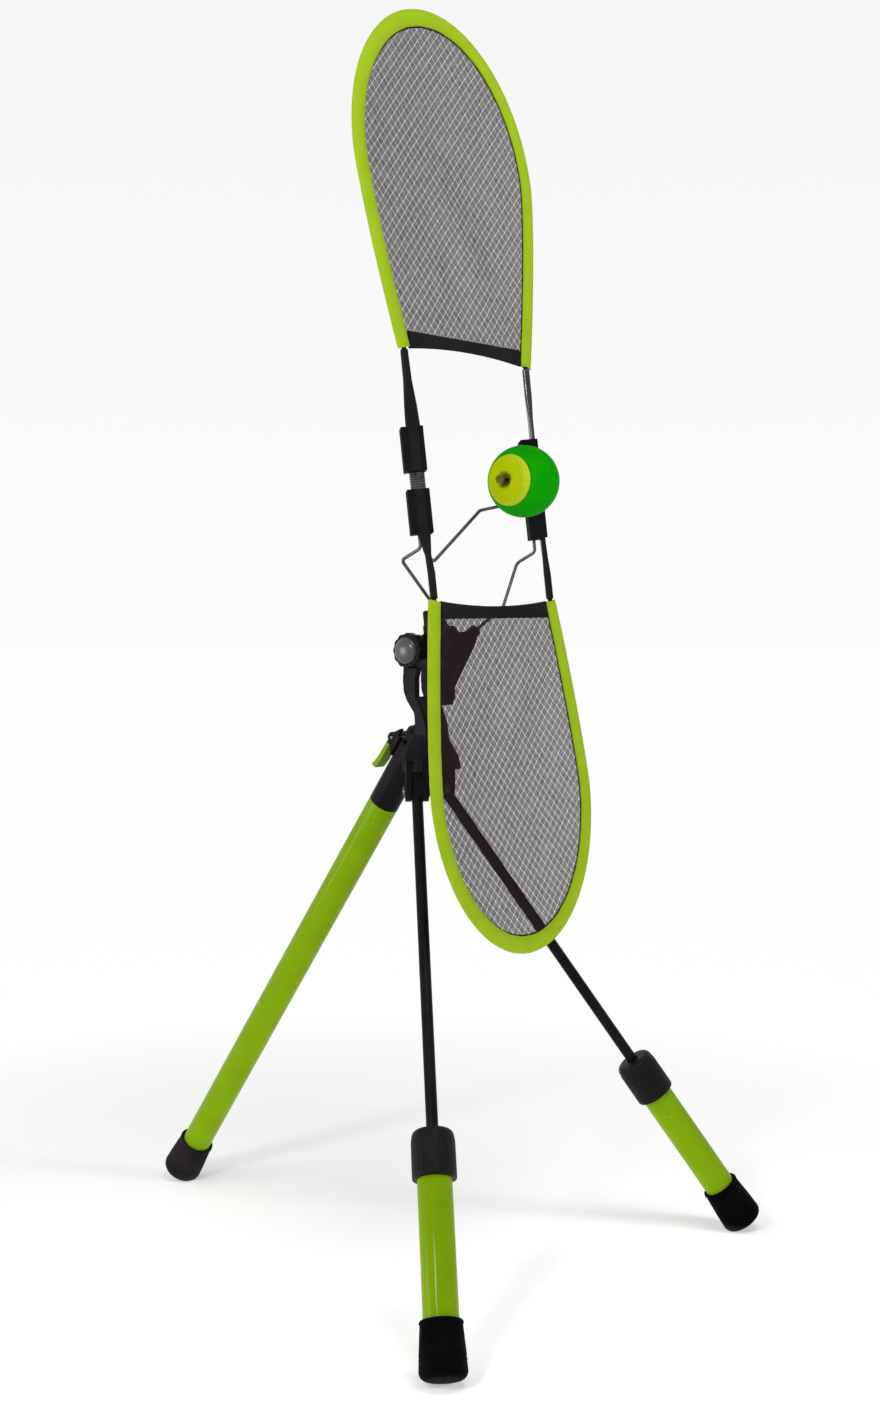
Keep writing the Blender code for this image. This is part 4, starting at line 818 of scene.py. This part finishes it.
class Screen:
    """One screen: where it starts, which way it runs, and its outline."""

    def __init__(self, name, start, direction, end_half, max_half, forward):
        self.name = name
        self.start = start
        self.direction = direction
        self.forward = forward
        self.end_half = end_half - BINDING_WIDTH / 2
        self.max_half = max_half - BINDING_WIDTH / 2
        self.length = SCREEN_LENGTH - BINDING_WIDTH / 2

    def half_width(self, along):
        """Half width to the middle of the binding: a flare, then a quarter of an ellipse."""
        if along < SCREEN_WIDEST:
            left = 1.0 - max(along, 0.0) / SCREEN_WIDEST
            return self.max_half - (self.max_half - self.end_half) * left ** FLARE
        part = min((along - SCREEN_WIDEST) / (self.length - SCREEN_WIDEST), 1.0)
        return self.max_half * math.sqrt(max(1.0 - part * part, 0.0))

    def outline(self, steps):
        """Middle line of the binding from one open end round to the other."""
        flare = steps // 3
        half = []
        for step in range(flare):
            along = SCREEN_WIDEST * step / flare
            half.append((self.half_width(along), along))
        rest = steps - flare
        for step in range(rest + 1):
            angle = math.pi / 2 * step / rest
            along = SCREEN_WIDEST + (self.length - SCREEN_WIDEST) * math.sin(angle)
            half.append((self.max_half * math.cos(angle), along))
        return [(-x, along) for x, along in half] + half[-2::-1]

    def frames(self, steps):
        """Outline points, each with its outward direction and the length run so far."""
        path = self.outline(steps)
        found = []
        run = 0.0
        for index, (x, along) in enumerate(path):
            before = path[max(index - 1, 0)]
            after = path[min(index + 1, len(path) - 1)]
            reach = math.dist(before, after)
            if index:
                run += math.dist(path[index], path[index - 1])
            outward = (before[1] - after[1]) / reach, (after[0] - before[0]) / reach
            found.append((x, along, *outward, run))
        return found

    def point(self, x, along, back=0.0):
        place = Vector((x, SCREEN_Y - self.forward + back, self.start + self.direction * along))
        return HEAD @ place

    def crown(self, x, along):
        """How far the net stands back from its plane, with soft tension folds."""
        rise = max(along - HEM_HEIGHT, 0.0) / (self.length - HEM_HEIGHT)
        share = min(abs(x) / max(self.half_width(along) - MESH_INSET, 0.001), 1.0)
        room = (1 - share * share) * math.sin(math.pi * min(rise, 1.0))
        away = (x - 0.03) ** 2 + (along - 0.09) ** 2
        fold = math.sin(x * 70 + along * 34) * math.exp(-away / 0.003)
        fold += 0.6 * waver(x * 26, along * 14, self.start * 9)
        return MESH_CROWN * room + 0.0013 * fold * room


BINDING_SECTION = ((-0.008, 0.0007), (-0.00785, 0.00115), (-0.0074, 0.0014), (-0.0064, 0.0016),
                   (-0.005, 0.00205), (-0.0035, 0.00262), (-0.0019, 0.003), (0.0, 0.00312),
                   (0.0019, 0.00302), (0.0037, 0.00272), (0.0054, 0.00222), (0.0068, 0.00155),
                   (0.0077, 0.0008))


def pucker(run, wide, hand):
    """Soft gathers of the tape along the hoop, deepest towards its inner edge on the front."""
    wide = wide * hand + (0.02 if hand < 0 else 0.0)
    inner = min(max((0.004 - wide) / 0.012, 0.0), 1.0)
    wave = waver(run * 120, wide * 90, 3.7)
    wave += 0.5 * waver(run * 330, wide * 60, 9.1)
    return wave * (0.0001 + 0.00028 * inner)


def add_binding(screen):
    """Woven tape folded over the hoop and sewn along its inner edge."""
    wrap, rings = [], []
    frames = screen.frames(150)
    back = [(wide, -thick) for wide, thick in reversed(BINDING_SECTION)]
    for index, (x, along, out_x, out_along, run) in enumerate(frames):
        tuck = (0.86, 0.95, 1.0)[min(index, len(frames) - 1 - index, 2)]
        ring = []
        lip = 0.00035 * waver(run * 85, 0.0, 1.3)
        for wide, thick in (*BINDING_SECTION, (BINDING_WIDTH / 2, 0.0), *back):
            hand = 1 if thick > 0 else -1
            gather = pucker(run, wide, hand) if thick else 0.0
            spread = wide + (lip if wide < -0.006 else 0.0)
            ring.append(screen.point(x + out_x * spread, along + out_along * spread,
                                     (thick + hand * gather) * tuck))
            wrap.append((run, wide * hand))
        rings.append(ring)
    node = f"{screen.name}_binding"
    return add_piece(f"{node}_tape", *skin(rings), node, "lime_tape", "lime_fabric", wrap=wrap)


def add_seam(node, lines, look, slot):
    """Sewing thread: each line is a path that dips into the cloth between stitches."""
    points, faces = [], []
    for line in lines:
        add_skin(points, faces, wire_rings(line, THREAD_R, 5))
    wrap = [(point[0] + point[2], point[1]) for point in points]
    return add_piece(f"{node}_seam", points, faces, node, look, slot, wrap=wrap)


def binding_seam(screen):
    lines = []
    wide = -BINDING_SEAM
    for hand in (1, -1):
        line = []
        for x, along, out_x, out_along, run in screen.frames(900)[6:-6]:
            dip = math.sin(2 * math.pi * run / BINDING_STITCH)
            high = 0.00172 + pucker(run, wide, hand)
            high += 0.00008 if dip > -0.55 else -STITCH_SINK
            line.append(screen.point(x + out_x * wide, along + out_along * wide, hand * high))
        lines.append(line)
    return add_seam(f"{screen.name}_binding", lines, "lime_thread", "lime_fabric")


def hem_half(screen):
    return screen.half_width(0.0) - BINDING_WIDTH / 2 - SEAT_GAP


def add_hem(screen):
    """Black tape over the open edge of the net. It bows up in the middle and its seam draws it in."""
    steps = 110
    wrap, rings = [], []
    half = hem_half(screen)
    thick = HEM_THICK / 2
    for step in range(steps + 1):
        x = half * (2 * step / steps - 1)
        share = x / half
        low = HEM_BOW * (1 - share * share)
        ring = []
        section = [(low + 0.0001, 0.15), (low, 0.55), (low + 0.0009, 0.9), (low + 0.0028, 1.0)]
        for share in (0.3, 0.5, 0.7, 0.85):
            section.append((low + (HEM_HEIGHT - low) * share, 0.98 - 0.1 * share))
        section += [(HEM_HEIGHT - 0.0006, 0.84), (HEM_HEIGHT, 0.65), (HEM_HEIGHT, 0.36)]
        outline = section + [(along, -size) for along, size in reversed(section)]
        for along, size in outline:
            hand = 1 if size > 0 else -1
            gather = 0.00022 * waver(x * 190, along * 60, 5.0 * hand)
            gather += 0.00012 * waver(x * 520, along * 30, 8.0 * hand)
            ring.append(screen.point(x, along, size * thick + hand * gather * (abs(size) > 0.5)))
            wrap.append((x, along * hand))
        rings.append(ring)
    node = f"{screen.name}_hem"
    return add_piece(f"{node}_tape", *skin(rings), node, "black_tape", "black_fabric", wrap=wrap)


def hem_seam(screen):
    half = hem_half(screen) - 0.002
    lines = []
    count = 560
    for hand in (1, -1):
        line = []
        for step in range(count + 1):
            x = half * (2 * step / count - 1)
            dip = math.sin(2 * math.pi * x / HEM_STITCH)
            high = HEM_THICK / 2 * 0.93 + (0.0001 if dip > -0.5 else -STITCH_SINK)
            line.append(screen.point(x, HEM_HEIGHT - HEM_SEAM, hand * high))
        lines.append(line)
    return add_seam(f"{screen.name}_hem", lines, "black_tape", "black_fabric")


def net_edge(screen):
    """The rim of the net as a distance in each direction from the middle of the screen."""
    rim = [(x - out_x * MESH_INSET, along - out_along * MESH_INSET)
           for x, along, out_x, out_along, _ in screen.frames(240)]
    rim = [point for point in rim if point[1] > HEM_TUCK]
    left = min(point[0] for point in rim[:2])
    rim += [(2 * left * step / 80 - left, HEM_TUCK) for step in range(81)]
    angles = [math.atan2(along - SCREEN_WIDEST, x) for x, along in rim]
    reach = [math.hypot(x, along - SCREEN_WIDEST) for x, along in rim]
    order = np.argsort(angles)
    return np.array(angles)[order], np.array(reach)[order]


def yarn_lines(screen):
    """Each slanting yarn: its start and end in the screen's plane, its side and which way it slants."""
    angles, reach = net_edge(screen)
    runs = np.arange(-0.4, 0.4, 0.0002)
    lines = []
    for hand in (1, -1):
        run = Vector((hand * NET_REPEAT[0] / 2, NET_REPEAT[1])).normalized()
        side = Vector((run.y, -run.x))
        repeat = abs(NET_REPEAT[0] * side.x)
        narrow = (repeat - NET_GAP - NET_YARNS * NET_YARN) / (NET_YARNS - 1)
        for number in range(-60 * NET_YARNS, 60 * NET_YARNS):
            block, place = divmod(number, NET_YARNS)
            off = block * repeat + NET_GAP / 2 + (place + 0.5) * NET_YARN + place * narrow
            x = side.x * off + run.x * runs
            along = side.y * off + run.y * runs
            far = np.interp(np.arctan2(along, x), angles, reach, period=2 * math.pi)
            inside = np.nonzero(np.hypot(x, along) < far)[0]
            if len(inside) > 8:
                ends = [Vector((x[index], along[index] + SCREEN_WIDEST))
                        for index in (inside[0], inside[-1])]
                lines.append((*ends, side, hand))
    return lines


def add_net(screen):
    """The open net, with a solid dark band round its rim where it goes into the tape."""
    points, faces = [], []
    back = HEAD.to_3x3() @ Vector((0.0, 1.0, 0.0))
    for start, end, side, hand in yarn_lines(screen):
        count = max(int((end - start).length / NET_STEP), 2)
        across = HEAD.to_3x3() @ Vector((side.x, 0.0, side.y * screen.direction))
        for step in range(count + 1):
            spot = start + (end - start) * step / count
            sway = waver(spot.x * 300, spot.y * 300, hand * 4.0)
            swell = waver(spot.x * 420, spot.y * 420, hand * 9.0)
            wide = NET_YARN / 2 * (1.0 + 0.25 * swell)
            deep = screen.crown(spot.x, spot.y) + hand * NET_THICK * 0.3
            place = screen.point(spot.x, spot.y, deep)
            place += across * sway * 0.00012
            first = len(points)
            points += [place + across * wide, place + back * NET_THICK / 2,
                       place - across * wide, place - back * NET_THICK / 2]
            if step:
                for corner in range(4):
                    nxt = (corner + 1) % 4
                    faces.append((first - 4 + corner, first - 4 + nxt, first + nxt, first + corner))
            if step in (0, count):
                faces.append(tuple(range(first, first + 4)))
    rings = []
    for x, along, out_x, out_along, _ in screen.frames(150):
        ring = []
        for wide, thick in ((MESH_INSET, 0.5), (NET_EDGE - 0.0004, 0.7), (NET_EDGE, 0.0),
                            (NET_EDGE - 0.0004, -0.7), (MESH_INSET, -0.5)):
            near = (x - out_x * wide, max(along - out_along * wide, HEM_TUCK))
            ring.append(screen.point(*near, screen.crown(*near) + thick * NET_THICK))
        rings.append(ring)
    add_skin(points, faces, rings)
    node = f"{screen.name}_mesh"
    return add_piece(f"{node}_net", points, faces, node, "net_fibre", "dark_mesh")


def cut_area(screen):
    """Flat area inside the rim of the net."""
    angles, reach = net_edge(screen)
    turns = np.diff(np.append(angles, angles[0] + 2 * math.pi))
    return float(np.sum(reach * np.roll(reach, -1) * np.sin(turns)) / 2)


def add_screen(screen):
    tape = add_binding(screen)
    seam = binding_seam(screen)
    hem = add_hem(screen)
    hem_thread = hem_seam(screen)
    path = [screen.point(x, along) for x, along, *_ in screen.frames(90)]
    start, end = [screen.point(side * screen.end_half, -HOOP_TAIL) for side in (-1, 1)]
    add_wire(f"{screen.name}_hoop_wire", [start, *path, end], HOOP_R, f"{screen.name}_hoop",
             "powder_coat", "black_metal", 16)
    net = add_net(screen)
    cut_area(screen)


# Ball

def add_ball():
    centre = Matrix.Translation(HEAD @ Vector(BALL_CENTRE)) @ turn(-LEAN, "X") @ ALONG_X
    flat = math.sqrt(BALL_R ** 2 - BALL_CUT ** 2)
    limit = math.degrees(math.acos(BALL_CUT / BALL_R))
    profile = [(BALL_BORE_R, -BALL_CUT), (flat - 0.0006, -BALL_CUT)]
    for step in range(31):
        angle = math.radians(180 - limit - (180 - 2 * limit) * step / 30)
        profile.append((BALL_R * math.sin(angle), BALL_R * math.cos(angle)))
    profile += [(flat - 0.0006, BALL_CUT), (BALL_BORE_R, BALL_CUT)]
    spin("ball_sponge", profile, centre, "ball_core", "green_foam", "green_foam", 96, sharp=50.0)
    for hand, label in ((-1, "near"), (1, "far")):
        base = BALL_CUT + SEAT_GAP
        rim = flat - CAP_STEP
        dome = [(BALL_BORE_R, base, 0.0), (rim, base, 0.0004), (rim - 0.0006, base + 0.0016),
                (rim - 0.0034, base + 0.0056), (0.016, base + 0.0072), (0.01, base + CAP_DOME),
                (0.0072, base + CAP_DOME, 0.001), (CAP_HOLE_R + 0.0006, base + 0.006, 0.0008),
                (CAP_HOLE_R, base + 0.004, 0.0004), (BALL_BORE_R, base + 0.004, 0.0)]
        inside = BALL_R - SEAT_GAP
        profile = []
        for radius, height in soften(dome, 0.0024, 6):
            low = min(height, math.sqrt(inside ** 2 - radius ** 2)) if hand > 0 else height
            profile.append((radius, hand * low))
        cap = spin(f"ball_{label}_dome", profile, centre, f"ball_{label}_cap", "yellow_foam",
                   "yellow_foam", 96, sharp=50.0)
        paint_cap(cap, centre, rim)
    # The bush, wire cap and collar take the olive colour of painted shade in the hole.
    for name, slot in (("bush", "grey_plastic"), ("wire_cap", "black_plastic"),
                       ("wire_collar", "steel")):
        mould(f"ball_{name}", "dusted_plastic", FINE, 2)
    _, y, z = BALL_CENTRE
    run = ((-0.0048, SCREEN_Y, z - 0.019), (0.028, SCREEN_Y, z - 0.0135),
           (BALL_WIRE_SIDE, y + 0.024, z - 0.006), (BALL_WIRE_SIDE, y, z), (-BALL_WIRE_TIP, y, z))
    corners = [upright_point(-1, BALL_SOCKET, SOCKET_DEEP, height)
               for height in (CLIP_LOW + ARM_GRIP, CLIP_LOW - BALL_WIRE_DROP)]
    path = bent_path(corners + [HEAD @ Vector(point) for point in run], BALL_WIRE_BENDS)
    add_wire("ball_wire_rod", path, WIRE_R, "ball_wire", "drawn_steel", "steel")


def paint_cap(cap, centre, rim):
    """Marks a cap's side, made paler as painted light on its side wall, and its middle round the hole,
    made darker as painted shade in its recess.
    """
    back = centre.inverted()
    radii = [math.hypot(*(back @ vertex.co)[:2]) for vertex in cap.data.vertices]
    # Painted light: the cap's side wall is made paler, as where light falls on it.
    side = [min(max((radius - rim + 0.0048) / 0.003, 0.0), 1.0) for radius in radii]
    # Painted shade: the middle round the hole is darkened for the shade in the cap's recess.
    stain = [min(max((0.0092 - radius) / 0.0024, 0.0), 1.0) for radius in radii]
    for name, values in (("side", side), ("stain", stain)):
        cap.data.attributes.new(name, "FLOAT", "POINT").data.foreach_set("value", values)


# Floor, lights and camera

def white_rays(tree):
    """1 for rays that should see a white studio: the camera's, and those in gloss and glass."""
    path = add_node(tree, "ShaderNodeLightPath")
    seen = math_of(tree, "MAXIMUM", path.outputs["Is Camera Ray"], path.outputs["Is Glossy Ray"])
    return math_of(tree, "MAXIMUM", seen, path.outputs["Is Transmission Ray"])


def add_floor(seen, bounce):
    """A pale floor that keeps the shadows near the tripod and fades to white further out."""
    mesh = bpy.data.meshes.new("floor")
    shape = bmesh.new()
    bmesh.ops.create_circle(shape, cap_ends=True, segments=96, radius=FLOOR_R)
    shape.to_mesh(mesh)
    shape.free()
    floor = new_object("floor", mesh)
    floor.location.z = -FLOOR_DROP
    look, tree, surface = principled("floor")
    tree.nodes.remove(surface)
    where = place_of(tree)
    paper = mix_of(tree, noise_of(tree, where, 60.0), (0.92, 0.92, 0.92), (0.94, 0.94, 0.94))
    far = add_node(tree, "ShaderNodeVectorMath", {0: where}, operation="LENGTH").outputs["Value"]
    fade = ramp_of(tree, far, *SHADOW_FADE)
    colour = mix_of(tree, fade, paper, (0.0, 0.0, 0.0))
    matt = add_node(tree, "ShaderNodeBsdfDiffuse", {"Color": colour})
    near = ramp_of(tree, white_rays(tree), 0.0, 1.0, bounce, seen)
    white = ramp_of(tree, far, *WHITE_TURN, 1.0, 0.982)
    rest = times(tree, fade, math_of(tree, "SUBTRACT", white, near))
    glow = add_node(tree, "ShaderNodeEmission", {"Strength": math_of(tree, "ADD", near, rest)})
    both = add_node(tree, "ShaderNodeAddShader", {0: matt.outputs[0], 1: glow.outputs[0]})
    tree.links.new(both.outputs[0], tree.nodes["Material Output"].inputs["Surface"])
    mesh.materials.append(look)


def add_world(dim, bright):
    """Soft light, brighter from the left and behind. The camera and gloss see almost white."""
    world = bpy.data.worlds.new("studio")
    bpy.context.scene.world = world
    world.use_nodes = True
    tree = world.node_tree
    plain = tree.nodes["Background"]
    plain.inputs["Color"].default_value = (1.0, 1.0, 1.0, 1.0)
    ray = add_node(tree, "ShaderNodeTexCoord").outputs["Generated"]
    toward = add_node(tree, "ShaderNodeVectorMath", {0: ray, 1: LIT_SIDE},
                      operation="DOT_PRODUCT").outputs["Value"]
    tree.links.new(ramp_of(tree, toward, -0.6, 0.9, dim, bright), plain.inputs["Strength"])
    rise = add_node(tree, "ShaderNodeSeparateXYZ", {"Vector": ray}).outputs["Z"]
    shade = ramp_of(tree, rise, 0.0, 0.34, 0.9715, 0.914)
    white = add_node(tree, "ShaderNodeBackground", {"Color": shade})
    both = add_node(tree, "ShaderNodeMixShader",
                    {0: white_rays(tree), 1: plain.outputs[0], 2: white.outputs[0]})
    tree.links.new(both.outputs[0], tree.nodes["World Output"].inputs["Surface"])


def aimed_object(name, data, place, look):
    made = new_object(name, data)
    made.location = place
    made.rotation_mode = "QUATERNION"
    made.rotation_quaternion = look.to_track_quat("-Z", "Y")
    return made


def add_lamp(name, place, size, power, mirrored):
    data = bpy.data.lights.new(name, "AREA")
    data.shape = "RECTANGLE"
    data.size, data.size_y = size
    data.energy = power
    lamp = aimed_object(name, data, place, Vector(LAMP_AIM) - Vector(place))
    lamp.visible_glossy = mirrored


def add_camera():
    data = bpy.data.cameras.new("camera")
    data.sensor_width = 36.0
    data.sensor_fit = "AUTO"
    data.lens = CAMERA_LENS
    data.clip_start = 0.05
    level = math.cos(CAMERA_DIP)
    look = Vector((-math.sin(CAMERA_HEADING) * level, math.cos(CAMERA_HEADING) * level,
                   -math.sin(CAMERA_DIP)))
    bpy.context.scene.camera = aimed_object("camera", data, CAMERA_PLACE, look)


add_tripod()
add_head()
add_screen(Screen("upper", start=0.2651, direction=1, end_half=0.1003, max_half=0.1331, forward=0.0))
add_screen(Screen("lower", start=0.0356, direction=-1, end_half=0.0972, max_half=0.1226,
                  forward=0.0024))
add_ball()
add_floor(seen=0.38, bounce=0.8)
add_world(dim=0.0, bright=0.66)
for name, lamp in LAMPS.items():
    add_lamp(name, *lamp)
add_camera()
bpy.context.scene.view_settings.view_transform = "Standard"
